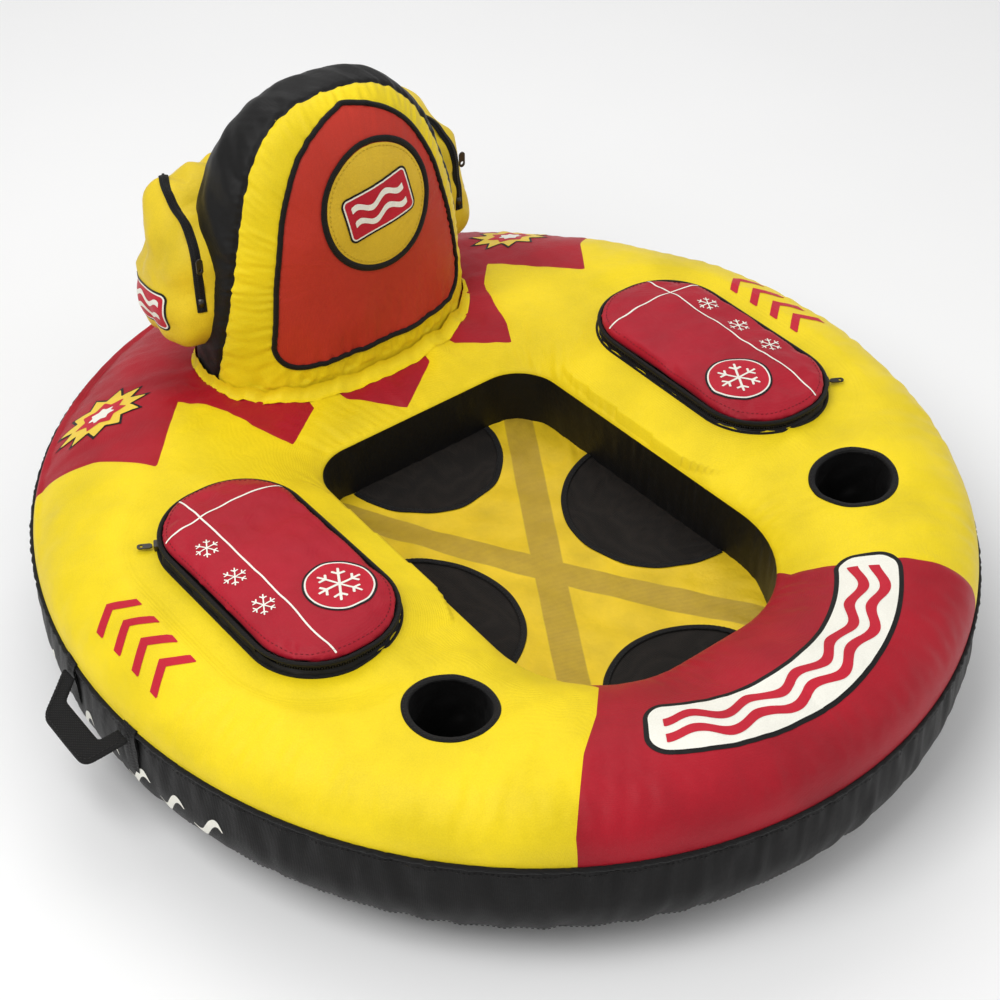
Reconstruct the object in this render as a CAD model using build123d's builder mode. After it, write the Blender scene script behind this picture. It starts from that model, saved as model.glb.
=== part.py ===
from build123d import *

import math
import os

# Inflatable ride-on water tube with a backrest, two zippered cooler lockers and a mesh floor.
# Units are millimetres.  +Z is up, -Y is the foot end, the backrest is at +Y.
# The origin is on the floor, under the middle of the tube.

os.makedirs("parts", exist_ok=True)

# ---- tube ring -------------------------------------------------------------------------------
RING_HALF_X = 560.0
RING_HALF_Y = 600.0
RING_TOP = 236.0
TOP_ROUND = 60.0            # outer top corner of the inflated section
OUTER_BOTTOM_ROUND = 115.0  # outer bottom corner, under the side band
INNER_BOTTOM_ROUND = 45.0   # bottom corner round the seat
INNER_TOP_ROUND = 68.0      # top corner round the seat
COVER = 2.0                 # nylon cover
BLADDER_INSET = 3.0         # the bladder sits a millimetre inside the cover
BLADDER_WALL = 2.0
SEAM_OUTER = 171.0          # seam between the top cover and the side band
SEAM_INNER = 199.0          # seam between the top cover and the inner wall
SEAM_BOTTOM = 46.0          # seam between the side band and the bottom cover
PIPING_PROUD = 2.0
PIPING_HEIGHT = 4.0

# ---- seat well -------------------------------------------------------------------------------
SEAT_REAR = 168.0
SEAT_FRONT = -388.0
SEAT_REAR_HALF = 175.0
SEAT_FRONT_HALF = 192.0
SEAT_REAR_ROUND = 60.0
SEAT_FRONT_ROUND = 140.0
WALL_STRIP = 30.0           # width of the inner wall's zone round the opening
BAND_CLEAR = 110.0          # the side band keeps this far out of the opening
FLOOR_Z = 125.0
FLOOR_SHEET = 1.6
DISC_SIDE = (190.0, -88.0)
DISC_SIDE_RADIUS = 122.0
DISC_REAR_Y = 170.0
DISC_FRONT_Y = -366.0
DISC_END_RADIUS = 106.0
BINDING = 8.0
BINDING_THICK = 0.8
STRAP_WIDTH = 38.0
STRAP_THICK = 1.5
STRAP_CROSS_Y = -97.0
STRAP_TURN = 58.7           # degrees from the X axis

# ---- cup holders -----------------------------------------------------------------------------
CUP_X = 304.0
CUP_Y = -299.0
CUP_RADIUS = 45.5
CUP_WALL = 1.5
CUP_DEPTH = 100.0
CUP_RIM = 7.0
CUP_RIM_THICK = 3.0
CUP_RIM_EDGE = 1.0

# ---- cooler lockers --------------------------------------------------------------------------
LOCKER_X = 334.0
LOCKER_Y = -15.0
LOCKER_WIDTH = 174.0
LOCKER_LENGTH = 335.0
LOCKER_ROUND = 80.0
LINER_INSET = 4.0
LINER_WALL = 5.0
LINER_FLOOR = 90.0
BASE_TAPE_TOP = 245.0
LID_TAPE_TOP = 249.0
LID_TOP = 262.0
LID_ROUND = 9.0
SLIDER_LOW = 237.5
SLIDER_HIGH = 244.8
SLIDER_REACH = 8.0          # how far the slider stands out from the locker's outline
SLIDER_WIDTH = 12.0
SLIDER_PARK = 150.0         # degrees from +X to the left slider's parking place; the right one is opposite
PULL_LENGTH = 18.0
PULL_WIDTH = 8.0
PULL_THICK = 1.6
PULL_LIFT = 3.0             # from the underside of the slider to the pull
PULL_GAP = 1.5              # the pull's end swings clear of the slider
PULL_EYE = 2.0
PULL_EYE_END = 5.0

# ---- handles ---------------------------------------------------------------------------------
HANDLE_AXIS_X = 565.0
HANDLE_AXIS_Z = 162.0
HANDLE_Y = 11.0
HANDLE_REACH = 58.0
HANDLE_DROOP = 35.0         # degrees below level at rest
HANDLE_THICK = 5.0
HANDLE_HALF = 75.0          # half the handle's length where it meets the tube
HANDLE_TIP_HALF = 50.0
HANDLE_ROUND = 20.0
GRIP_REACH = 28.0           # the gap for the fingers
GRIP_HALF = 54.0
GRIP_TIP_HALF = 40.0
ANCHOR_Y = 65.0             # from the handle's middle to each tab
ANCHOR_SIZE = (34.0, 22.0, 20.0)
ANCHOR_IN = 20.0
ANCHOR_DROP = 4.0

# ---- valves ----------------------------------------------------------------------------------
VALVE_TURN = 60.0           # degrees round the tube's plan
VALVE_Z = 112.0
VALVE_FLANGE = 22.0
VALVE_FLANGE_THICK = 3.0
VALVE_NECK = 14.0
VALVE_NECK_DEPTH = 16.0
VALVE_BORE = 10.0
CAP_RADIUS = 18.0
CAP_THICK = 5.0
CAP_EDGE = 1.0
CAP_HINGE = 22.0
CAP_TONGUE = (10.0, 8.0)
STOPPER_GAP = 1.5
STOPPER_DEPTH = 3.0
BACK_VALVE_X = 70.0
BACK_VALVE_Z = 290.0

# ---- backrest --------------------------------------------------------------------------------
DOME_FRONT = 251.0
DOME_REAR = 465.0
DOME_HALF = 191.0
DOME_TOP_HALF = 170.0
DOME_TOP = 590.0
DOME_SHOULDER = 165.0
DOME_EDGE = 92.0
FACE_SEAM = 325.0           # seam between the yellow rim and the black gusset
BACK_SEAM = 432.0           # seam between the gusset and the back panel
RIM_WIDTH = 44.0
FACE_BASE = 264.0
FACE_PIPING = 6.0
BADGE_X = 20.0
BADGE_Z = 444.0
BADGE_RADIUS = 70.0
BADGE_RING = 8.0
BADGE_THICK = 1.0
COLLAR_THICK = 10.0
COLLAR_HEIGHT = 23.5

# ---- backrest side pockets -------------------------------------------------------------------
POCKET_OUT = 236.0
POCKET_IN = 110.0
POCKET_WALL = 3.0
POCKET_FRONT = 335.0
POCKET_BACK = 478.0
POCKET_LOW = 278.0
POCKET_FRONT_TOP = 430.0
POCKET_BACK_TOP = 500.0
POCKET_ROUND = 20.0
ZIP_X = 200.0
ZIP_TAPE = 24.0
ZIP_SLOT = 8.0
ZIP_SLOT_END = 30.0         # from each end of the pocket's top to the slot
ZIP_TAPE_END = 8.0
ZIP_TAPE_THICK = 1.5
ZIP_SLIDER = (12.0, 9.0, 6.0)
ZIP_SLIDER_PLACE = 16.0     # up the slope from the front
ZIP_PULL = (22.0, 9.0, 1.6)
ZIP_PULL_TOP = 2.0
ZIP_PULL_GAP = 3.0
ZIP_PULL_EYE = 2.5
ZIP_PULL_EYE_DROP = 16.0

RUN = 0.3                   # clearance between bodies, and between stacked layers
OVER = 10.0                 # how far cutting tools reach past a surface
FAR = 1500.0

DOME_BASE = RING_TOP + RUN
DOME_TAPER = (DOME_HALF - DOME_TOP_HALF) / (DOME_TOP - DOME_BASE)


def finish(piece, name):
    """Label a finished piece and write it."""
    piece.label = name
    export_step(piece, f"parts/{name}.step")


# ================================= shared forms ===============================================
def seat_outline(height, grow=0.0):
    """Outline of the seat opening on a level plane, grown outwards."""
    with BuildSketch(Plane.XY.offset(height)) as sketch:
        with BuildLine():
            Polyline(
                (-SEAT_REAR_HALF - grow, SEAT_REAR + grow),
                (SEAT_REAR_HALF + grow, SEAT_REAR + grow),
                (SEAT_FRONT_HALF + grow, SEAT_FRONT - grow),
                (-SEAT_FRONT_HALF - grow, SEAT_FRONT - grow),
                close=True,
            )
        make_face()
        fillet(sketch.vertices().group_by(Axis.Y)[-1], SEAT_REAR_ROUND + grow)
        fillet(sketch.vertices().group_by(Axis.Y)[0], SEAT_FRONT_ROUND + grow)
    return sketch.sketch


def locker_outline(height, side, grow=0.0):
    """Outline of one locker on a level plane; side is -1 or +1."""
    with BuildSketch(Plane.XY.offset(height)) as sketch:
        with Locations((side * LOCKER_X, LOCKER_Y)):
            RectangleRounded(
                LOCKER_WIDTH + 2 * grow, LOCKER_LENGTH + 2 * grow, LOCKER_ROUND + grow
            )
    return sketch.sketch


def locker_frame(base, top, side):
    """A flat frame round one locker's mouth."""
    with BuildPart() as frame:
        extrude(locker_outline(base, side), amount=top - base)
        mouth = locker_outline(base, side, -LINER_INSET - LINER_WALL)
        extrude(mouth, amount=top - base, mode=Mode.SUBTRACT)
    return frame.part


def ring_form(inset):
    """The inflated ring with every face moved inwards by inset."""
    height = RING_TOP - 2 * inset
    with BuildPart() as form:
        with BuildSketch(Plane.XY.offset(inset)):
            Ellipse(RING_HALF_X - inset, RING_HALF_Y - inset)
        extrude(amount=height)
        fillet(form.faces().sort_by(Axis.Z)[-1].edges(), TOP_ROUND - inset)
        fillet(form.faces().sort_by(Axis.Z)[0].edges(), OUTER_BOTTOM_ROUND - inset)
        extrude(seat_outline(inset, inset), amount=height, mode=Mode.SUBTRACT)
        top_mouth = form.faces().sort_by(Axis.Z)[-1].inner_wires()[0]
        fillet(top_mouth.edges(), INNER_TOP_ROUND - inset)
        bottom_mouth = form.faces().sort_by(Axis.Z)[0].inner_wires()[0]
        fillet(bottom_mouth.edges(), INNER_BOTTOM_ROUND - inset)
    return form.part


def pits(grow, drop):
    """Tool for the cup and locker pits, grown sideways by grow and deepened by drop."""
    with BuildPart() as tool:
        for side in (-1, 1):
            base = LINER_FLOOR - drop
            extrude(locker_outline(base, side, grow - LINER_INSET), amount=RING_TOP + OVER - base)
            base = RING_TOP - CUP_DEPTH - drop
            with BuildSketch(Plane.XY.offset(base)):
                with Locations((side * CUP_X, CUP_Y)):
                    Circle(CUP_RADIUS + CUP_WALL + grow)
            extrude(amount=RING_TOP + OVER - base)
    return tool.part


def plan_prism(points):
    """A tall prism over a plan outline."""
    with BuildPart() as prism:
        with BuildSketch(Plane.XY):
            with BuildLine():
                Polyline(*points, close=True)
            make_face()
        extrude(amount=RING_TOP + OVER)
    return prism.part


def slab(low, high, axis):
    """A very wide block between two levels along one axis."""
    size = [FAR, FAR, FAR]
    size["XYZ".index(axis)] = high - low
    centre = [0, 0, 0]
    centre["XYZ".index(axis)] = (low + high) / 2
    with BuildPart() as block:
        with Locations(tuple(centre)):
            Box(*size)
    return block.part


def mirrored(points):
    """The same plan outline on the other side."""
    return [(-x, y) for x, y in points]


def wall_plane(centre, normal):
    """Plane on an upright wall: x level, y up the wall, z outwards."""
    level = Vector(0, 0, 1).cross(Vector(*normal))
    return Plane(origin=centre, x_dir=level, z_dir=normal)


def round_hole(plane, radius, depth):
    """A cylinder that reaches depth to both sides of a plane."""
    with BuildPart() as hole:
        with BuildSketch(plane):
            Circle(radius)
        extrude(amount=depth, both=True)
    return hole.part


turn = math.radians(VALVE_TURN)
TUBE_VALVE = wall_plane(
    (RING_HALF_X * math.cos(turn), RING_HALF_Y * math.sin(turn), VALVE_Z),
    (math.cos(turn) / RING_HALF_X, math.sin(turn) / RING_HALF_Y, 0),
)
BACK_VALVE = wall_plane((BACK_VALVE_X, DOME_REAR, BACK_VALVE_Z), (0, 1, 0))
tube_valve_hole = round_hole(TUBE_VALVE, VALVE_NECK + RUN, VALVE_NECK_DEPTH)
back_valve_hole = round_hole(BACK_VALVE, VALVE_NECK + RUN, VALVE_NECK_DEPTH)

# ================================= tube cover =================================================
# Plan outlines of the red panels sewn into the top cover; they reach past its edges.
FRONT_PANEL = [(-138, -330), (138, -330), (330, -560), (330, -640), (-330, -640), (-330, -560)]
REAR_PANEL = [
    (214, 330), (232, 296), (274, 330), (344, 226), (404, 300), (620, 300), (620, 640), (150, 640),
    (150, 420),
]
SPIKE_PANEL = [(-52, 252), (0, 196), (52, 252)]

outer_skin = ring_form(0)
cover_shell = outer_skin - ring_form(COVER)

with BuildPart() as seat_side:
    extrude(seat_outline(0, WALL_STRIP), amount=SEAM_INNER)
with BuildPart() as wide_seat_side:
    extrude(seat_outline(0, BAND_CLEAR), amount=SEAM_INNER)

top_skin = cover_shell & slab(SEAM_OUTER, RING_TOP + OVER, "Z")
top_skin = top_skin - seat_side.part - pits(RUN, 0)

panels = {
    "front_panel": plan_prism(FRONT_PANEL),
    "rear_panel_right": plan_prism(REAR_PANEL),
    "rear_panel_left": plan_prism(mirrored(REAR_PANEL)),
    "rear_panel_center": plan_prism(SPIKE_PANEL),
}

with BuildPart() as top_cover:
    add(top_skin)
    for outline in panels.values():
        add(outline, mode=Mode.SUBTRACT)
finish(top_cover.part, "top_cover")

for panel_name, outline in panels.items():
    with BuildPart() as panel:
        add(top_skin)
        add(outline, mode=Mode.INTERSECT)
    finish(panel.part, panel_name)

with BuildPart() as side_band:
    add(cover_shell)
    add(slab(SEAM_BOTTOM, SEAM_OUTER, "Z"), mode=Mode.INTERSECT)
    add(wide_seat_side.part, mode=Mode.SUBTRACT)
    add(tube_valve_hole, mode=Mode.SUBTRACT)
finish(side_band.part, "side_band")

with BuildPart() as bottom_cover:
    add(cover_shell)
    add(slab(-OVER, SEAM_BOTTOM, "Z"), mode=Mode.INTERSECT)
finish(bottom_cover.part, "bottom_cover")

with BuildPart() as inner_wall:
    add(cover_shell)
    add(seat_side.part, mode=Mode.INTERSECT)
    add(slab(-OVER, SEAM_BOTTOM, "Z"), mode=Mode.SUBTRACT)
finish(inner_wall.part, "inner_wall")

with BuildPart() as seam_piping:
    with BuildSketch(Plane.XY.offset(SEAM_OUTER - PIPING_HEIGHT / 2)):
        Ellipse(RING_HALF_X + PIPING_PROUD, RING_HALF_Y + PIPING_PROUD)
        Ellipse(RING_HALF_X + RUN, RING_HALF_Y + RUN, mode=Mode.SUBTRACT)
    extrude(amount=PIPING_HEIGHT)
finish(seam_piping.part, "seam_piping")

# ================================= tube bladder and valve =====================================
with BuildPart() as tube_bladder:
    add(ring_form(BLADDER_INSET))
    add(pits(1.0, 1.0), mode=Mode.SUBTRACT)
    air = ring_form(BLADDER_INSET + BLADDER_WALL) - pits(1.0 + BLADDER_WALL, 1.0 + BLADDER_WALL)
    add(air, mode=Mode.SUBTRACT)
    add(tube_valve_hole, mode=Mode.SUBTRACT)
finish(tube_bladder.part, "tube_bladder")


def make_valve(plane, name):
    """A flanged valve with a hinged cap whose stopper closes the bore."""
    with BuildPart() as body:
        with BuildSketch(plane.offset(RUN)):
            Circle(VALVE_FLANGE)
        extrude(amount=VALVE_FLANGE_THICK)
        with BuildSketch(plane.offset(RUN)):
            Circle(VALVE_NECK)
        extrude(amount=-VALVE_NECK_DEPTH)
        with BuildSketch(plane.offset(RUN + VALVE_FLANGE_THICK)):
            Circle(VALVE_BORE)
        extrude(amount=-VALVE_FLANGE_THICK - VALVE_NECK_DEPTH, mode=Mode.SUBTRACT)
    finish(body.part, f"{name}_body")

    with BuildPart() as cap:
        with BuildSketch(plane.offset(2 * RUN + VALVE_FLANGE_THICK)):
            Circle(CAP_RADIUS)
            with Locations((0, CAP_HINGE - CAP_TONGUE[1] / 2)):
                Rectangle(*CAP_TONGUE)
        extrude(amount=CAP_THICK)
        outer_face = cap.faces().filter_by(GeomType.PLANE).sort_by(Axis((0, 0, 0), plane.z_dir))[-1]
        chamfer(outer_face.edges(), CAP_EDGE)
        with BuildSketch(plane.offset(2 * RUN + VALVE_FLANGE_THICK)):
            Circle(VALVE_BORE - STOPPER_GAP)
        extrude(amount=-STOPPER_DEPTH)
    finish(cap.part, f"{name}_cap")


make_valve(TUBE_VALVE, "tube_valve")
make_valve(BACK_VALVE, "backrest_valve")

# ================================= seat floor =================================================
discs = {
    "right": (DISC_SIDE[0], DISC_SIDE[1], DISC_SIDE_RADIUS),
    "left": (-DISC_SIDE[0], DISC_SIDE[1], DISC_SIDE_RADIUS),
    "rear": (0, DISC_REAR_Y, DISC_END_RADIUS),
    "front": (0, DISC_FRONT_Y, DISC_END_RADIUS),
}

with BuildPart() as floor_zone:
    extrude(seat_outline(FLOOR_Z - OVER, -RUN), amount=2 * OVER)

with BuildPart() as seat_floor:
    extrude(seat_outline(FLOOR_Z, -RUN), amount=FLOOR_SHEET)
    with BuildSketch(Plane.XY.offset(FLOOR_Z)):
        for x, y, radius in discs.values():
            with Locations((x, y)):
                Circle(radius)
    extrude(amount=FLOOR_SHEET, mode=Mode.SUBTRACT)
finish(seat_floor.part, "seat_floor")

for place, (x, y, radius) in discs.items():
    with BuildPart() as mesh_disc:
        with BuildSketch(Plane.XY.offset(FLOOR_Z + RUN)):
            with Locations((x, y)):
                Circle(radius)
        extrude(amount=FLOOR_SHEET - 2 * RUN)
        add(floor_zone.part, mode=Mode.INTERSECT)
    finish(mesh_disc.part, f"mesh_disc_{place}")

    with BuildPart() as binding:
        with BuildSketch(Plane.XY.offset(FLOOR_Z + FLOOR_SHEET)):
            with Locations((x, y)):
                Circle(radius + BINDING / 2)
                Circle(radius - BINDING / 2, mode=Mode.SUBTRACT)
        extrude(amount=BINDING_THICK)
        add(floor_zone.part, mode=Mode.INTERSECT)
    finish(binding.part, f"mesh_binding_{place}")

for strap_name, strap_turn, strap_top in (
    ("floor_strap_upper", STRAP_TURN, FLOOR_Z),
    ("floor_strap_lower", 180 - STRAP_TURN, FLOOR_Z - STRAP_THICK),
):
    with BuildPart() as strap:
        with BuildSketch(Plane.XY.offset(strap_top - STRAP_THICK)):
            with Locations(Location((0, STRAP_CROSS_Y, 0), (0, 0, strap_turn))):
                Rectangle(FAR, STRAP_WIDTH)
        extrude(amount=STRAP_THICK)
        add(floor_zone.part, mode=Mode.INTERSECT)
    finish(strap.part, strap_name)


# ================================= cup holders, lockers and handles ===========================
def make_cup(side, name):
    """An open cup let into the tube, with a sewn rim round its mouth."""
    with BuildPart() as liner:
        with BuildSketch(Plane.XY.offset(RING_TOP - CUP_DEPTH)):
            with Locations((side * CUP_X, CUP_Y)):
                Circle(CUP_RADIUS + CUP_WALL)
        extrude(amount=CUP_DEPTH)
        with BuildSketch(Plane.XY.offset(RING_TOP)):
            with Locations((side * CUP_X, CUP_Y)):
                Circle(CUP_RADIUS)
        extrude(amount=CUP_WALL - CUP_DEPTH, mode=Mode.SUBTRACT)
    finish(liner.part, f"cup_liner_{name}")

    with BuildPart() as rim:
        with BuildSketch(Plane.XY.offset(RING_TOP)):
            with Locations((side * CUP_X, CUP_Y)):
                Circle(CUP_RADIUS + CUP_WALL + CUP_RIM)
                Circle(CUP_RADIUS + CUP_WALL, mode=Mode.SUBTRACT)
        extrude(amount=CUP_RIM_THICK)
        fillet(rim.faces().sort_by(Axis.Z)[-1].edges(), CUP_RIM_EDGE)
    finish(rim.part, f"cup_rim_{name}")


def make_locker(side, name):
    """A foam-lined cooler pit under a padded lid that zips shut."""
    with BuildPart() as liner:
        extrude(locker_outline(LINER_FLOOR, side, -LINER_INSET), amount=RING_TOP - LINER_FLOOR)
        inside = locker_outline(LINER_FLOOR + LINER_WALL, side, -LINER_INSET - LINER_WALL)
        extrude(inside, amount=RING_TOP - LINER_FLOOR - LINER_WALL, mode=Mode.SUBTRACT)
    finish(liner.part, f"locker_liner_{name}")

    finish(locker_frame(RING_TOP, BASE_TAPE_TOP, side), f"locker_base_tape_{name}")
    finish(locker_frame(BASE_TAPE_TOP + RUN, LID_TAPE_TOP, side), f"locker_lid_tape_{name}")

    with BuildPart() as lid:
        extrude(locker_outline(LID_TAPE_TOP, side), amount=LID_TOP - LID_TAPE_TOP)
        fillet(lid.faces().sort_by(Axis.Z)[-1].edges(), LID_ROUND)
    finish(lid.part, f"locker_lid_{name}")

    # The left slider parks at the outer rear corner, the right one at the outer front corner.
    corner_x = side * (LOCKER_X + LOCKER_WIDTH / 2 - LOCKER_ROUND)
    corner_y = LOCKER_Y - side * (LOCKER_LENGTH / 2 - LOCKER_ROUND)
    heading = math.radians(SLIDER_PARK if side < 0 else SLIDER_PARK - 180)
    corner = Plane(
        origin=(corner_x, corner_y, 0), x_dir=(math.cos(heading), math.sin(heading), 0), z_dir=(0, 0, 1)
    )
    slider_out = LOCKER_ROUND + SLIDER_REACH
    with BuildPart() as slider:
        with BuildSketch(corner.offset(SLIDER_LOW)):
            with Locations(((LOCKER_ROUND + RUN + slider_out) / 2, 0)):
                RectangleRounded(slider_out - LOCKER_ROUND - RUN, SLIDER_WIDTH, PULL_EYE)
        extrude(amount=SLIDER_HIGH - SLIDER_LOW)
    finish(slider.part, f"locker_slider_{name}")

    with BuildPart() as pull:
        pull_start = slider_out + PULL_GAP
        with BuildSketch(corner.offset(SLIDER_LOW + PULL_LIFT)):
            with Locations((pull_start + PULL_LENGTH / 2, 0)):
                SlotOverall(PULL_LENGTH, PULL_WIDTH)
            with Locations((pull_start + PULL_LENGTH - PULL_EYE_END, 0)):
                Circle(PULL_EYE, mode=Mode.SUBTRACT)
        extrude(amount=PULL_THICK)
    finish(pull.part, f"locker_pull_{name}")


def make_handle(side, name):
    """A flat webbing loop that droops from two tabs on the side band."""
    droop = math.radians(HANDLE_DROOP)
    loop_plane = Plane(
        origin=(side * HANDLE_AXIS_X, HANDLE_Y, HANDLE_AXIS_Z),
        x_dir=(side * math.cos(droop), 0, -math.sin(droop)),
        z_dir=(side * math.sin(droop), 0, math.cos(droop)),
    )
    with BuildPart() as loop:
        with BuildSketch(loop_plane) as band:
            with BuildLine():
                Polyline(
                    (RUN, -HANDLE_HALF), (RUN, HANDLE_HALF),
                    (HANDLE_REACH, HANDLE_TIP_HALF), (HANDLE_REACH, -HANDLE_TIP_HALF),
                    close=True,
                )
            make_face()
            fillet(band.vertices().group_by(Axis.X)[-1], HANDLE_ROUND)
            with BuildLine():
                Polyline(
                    (-RUN, -GRIP_HALF), (-RUN, GRIP_HALF),
                    (GRIP_REACH, GRIP_TIP_HALF), (GRIP_REACH, -GRIP_TIP_HALF),
                    close=True,
                )
            make_face(mode=Mode.SUBTRACT)
        extrude(amount=HANDLE_THICK / 2, both=True)
    finish(loop.part, f"handle_{name}")

    with BuildPart() as tabs:
        for end in (-1, 1):
            tab_x = side * (HANDLE_AXIS_X - ANCHOR_IN)
            with Locations((tab_x, HANDLE_Y + end * ANCHOR_Y, HANDLE_AXIS_Z - ANCHOR_DROP)):
                Box(*ANCHOR_SIZE)
        add(outer_skin, mode=Mode.SUBTRACT)
    finish(tabs.part, f"handle_anchor_{name}")


for side, side_name in ((-1, "left"), (1, "right")):
    make_cup(side, side_name)
    make_locker(side, side_name)
    make_handle(side, side_name)


# ================================= backrest ===================================================
def arch_outline(y, inset, base):
    """The backrest's front outline on an upright plane at y."""
    top = DOME_TOP - inset
    low_half = DOME_HALF - inset - DOME_TAPER * (base - DOME_BASE)
    top_half = DOME_HALF - inset - DOME_TAPER * (top - DOME_BASE)
    with BuildSketch(Plane.XZ.offset(-y)) as sketch:
        with BuildLine():
            Polyline(
                (-low_half, base), (low_half, base), (top_half, top), (-top_half, top), close=True
            )
        make_face()
        fillet(sketch.vertices().group_by(Axis.Y)[-1], DOME_SHOULDER - inset)
    return sketch.sketch


def dome_form(inset, base):
    """The inflated backrest with its faces moved inwards by inset, cut level at base."""
    with BuildPart() as form:
        depth = DOME_REAR - DOME_FRONT - 2 * inset
        extrude(arch_outline(DOME_FRONT + inset, inset, base), amount=-depth)
        ends = form.faces().filter_by(Axis.Y)
        rims = ends.edges().filter_by(lambda edge: edge.center().Z > base + RUN)
        fillet(rims, DOME_EDGE - inset)
    return form.part


def arch_band(outer, inner, base_drop):
    """A prism through the front of the backrest between two insets of its outline."""
    reach = FACE_SEAM - DOME_FRONT + 2 * OVER
    with BuildPart() as prism:
        extrude(arch_outline(DOME_FRONT - 2 * OVER, outer, FACE_BASE - base_drop), amount=-reach)
        if inner is not None:
            hollow = arch_outline(DOME_FRONT - 2 * OVER, inner, FACE_BASE + base_drop)
            extrude(hollow, amount=-reach, mode=Mode.SUBTRACT)
    return prism.part


dome_shell = dome_form(0, DOME_BASE) - dome_form(COVER, DOME_BASE - 2 * OVER)
face_prism = arch_band(RIM_WIDTH, None, 0)
front_zone = slab(DOME_FRONT - OVER, FACE_SEAM, "Y")

with BuildPart() as backrest_face:
    add(dome_shell)
    add(face_prism, mode=Mode.INTERSECT)
finish(backrest_face.part, "backrest_face")

with BuildPart() as backrest_rim:
    add(dome_shell)
    add(front_zone, mode=Mode.INTERSECT)
    add(face_prism, mode=Mode.SUBTRACT)
finish(backrest_rim.part, "backrest_rim")

with BuildPart() as backrest_gusset:
    add(dome_shell)
    add(slab(FACE_SEAM, BACK_SEAM, "Y"), mode=Mode.INTERSECT)
finish(backrest_gusset.part, "backrest_gusset")

with BuildPart() as backrest_back:
    add(dome_shell)
    add(slab(BACK_SEAM, DOME_REAR + OVER, "Y"), mode=Mode.INTERSECT)
    add(back_valve_hole, mode=Mode.SUBTRACT)
finish(backrest_back.part, "backrest_back")

with BuildPart() as backrest_bladder:
    add(dome_form(BLADDER_INSET, DOME_BASE + COVER))
    wall_inside = BLADDER_INSET + BLADDER_WALL
    add(dome_form(wall_inside, DOME_BASE + COVER + BLADDER_WALL), mode=Mode.SUBTRACT)
    add(back_valve_hole, mode=Mode.SUBTRACT)
finish(backrest_bladder.part, "backrest_bladder")

skin_outside = dome_form(-RUN, DOME_BASE - 2 * OVER)

with BuildPart() as backrest_piping:
    add(dome_form(-RUN - PIPING_PROUD, DOME_BASE))
    add(skin_outside, mode=Mode.SUBTRACT)
    half = FACE_PIPING / 2
    add(arch_band(RIM_WIDTH - half, RIM_WIDTH + half, half), mode=Mode.INTERSECT)
finish(backrest_piping.part, "backrest_piping")

badge_plane = Plane.XZ.offset(-DOME_FRONT + 2 * OVER)
with BuildPart() as backrest_badge:
    add(dome_form(-RUN - BADGE_THICK, DOME_BASE))
    add(skin_outside, mode=Mode.SUBTRACT)
    with BuildSketch(badge_plane):
        with Locations((BADGE_X, BADGE_Z)):
            Circle(BADGE_RADIUS)
    extrude(amount=-FACE_SEAM + DOME_FRONT, mode=Mode.INTERSECT)
finish(backrest_badge.part, "backrest_badge")

with BuildPart() as backrest_badge_ring:
    add(dome_form(-RUN - PIPING_PROUD, DOME_BASE))
    add(skin_outside, mode=Mode.SUBTRACT)
    with BuildSketch(badge_plane):
        with Locations((BADGE_X, BADGE_Z)):
            Circle(BADGE_RADIUS + BADGE_RING)
            Circle(BADGE_RADIUS, mode=Mode.SUBTRACT)
    extrude(amount=-FACE_SEAM + DOME_FRONT, mode=Mode.INTERSECT)
finish(backrest_badge_ring.part, "backrest_badge_ring")

with BuildPart() as backrest_collar:
    add(dome_form(-COLLAR_THICK, DOME_BASE))
    add(slab(0, DOME_BASE + COLLAR_HEIGHT, "Z"), mode=Mode.INTERSECT)
    add(skin_outside, mode=Mode.SUBTRACT)
finish(backrest_collar.part, "backrest_collar")


def pocket_block(side, inset):
    """The outer form of one side pocket, before the backrest is taken out of it."""
    outline = [
        (POCKET_FRONT + inset, POCKET_LOW + inset),
        (POCKET_BACK - inset, POCKET_LOW + inset),
        (POCKET_BACK - inset, POCKET_BACK_TOP - inset),
        (POCKET_FRONT + inset, POCKET_FRONT_TOP - inset),
    ]
    start = POCKET_IN if side > 0 else -POCKET_OUT + inset
    with BuildPart() as block:
        with BuildSketch(Plane.YZ.offset(start)):
            with BuildLine():
                Polyline(*outline, close=True)
            make_face()
        extrude(amount=POCKET_OUT - POCKET_IN - inset)
        outer_face = block.faces().sort_by(Axis.X)[-1 if side > 0 else 0]
        fillet(outer_face.edges(), POCKET_ROUND - inset)
    return block.part


pocket_slope = math.atan2(POCKET_BACK_TOP - POCKET_FRONT_TOP, POCKET_BACK - POCKET_FRONT)


def slope_plane(side, along, rise):
    """Plane on a pocket's sloping top, along its length from the front, x pointing up the slope."""
    y = POCKET_FRONT + along * math.cos(pocket_slope) - rise * math.sin(pocket_slope)
    z = POCKET_FRONT_TOP + along * math.sin(pocket_slope) + rise * math.cos(pocket_slope)
    return Plane(
        origin=(side * ZIP_X, y, z),
        x_dir=(0, math.cos(pocket_slope), math.sin(pocket_slope)),
        z_dir=(0, -math.sin(pocket_slope), math.cos(pocket_slope)),
    )


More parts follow.
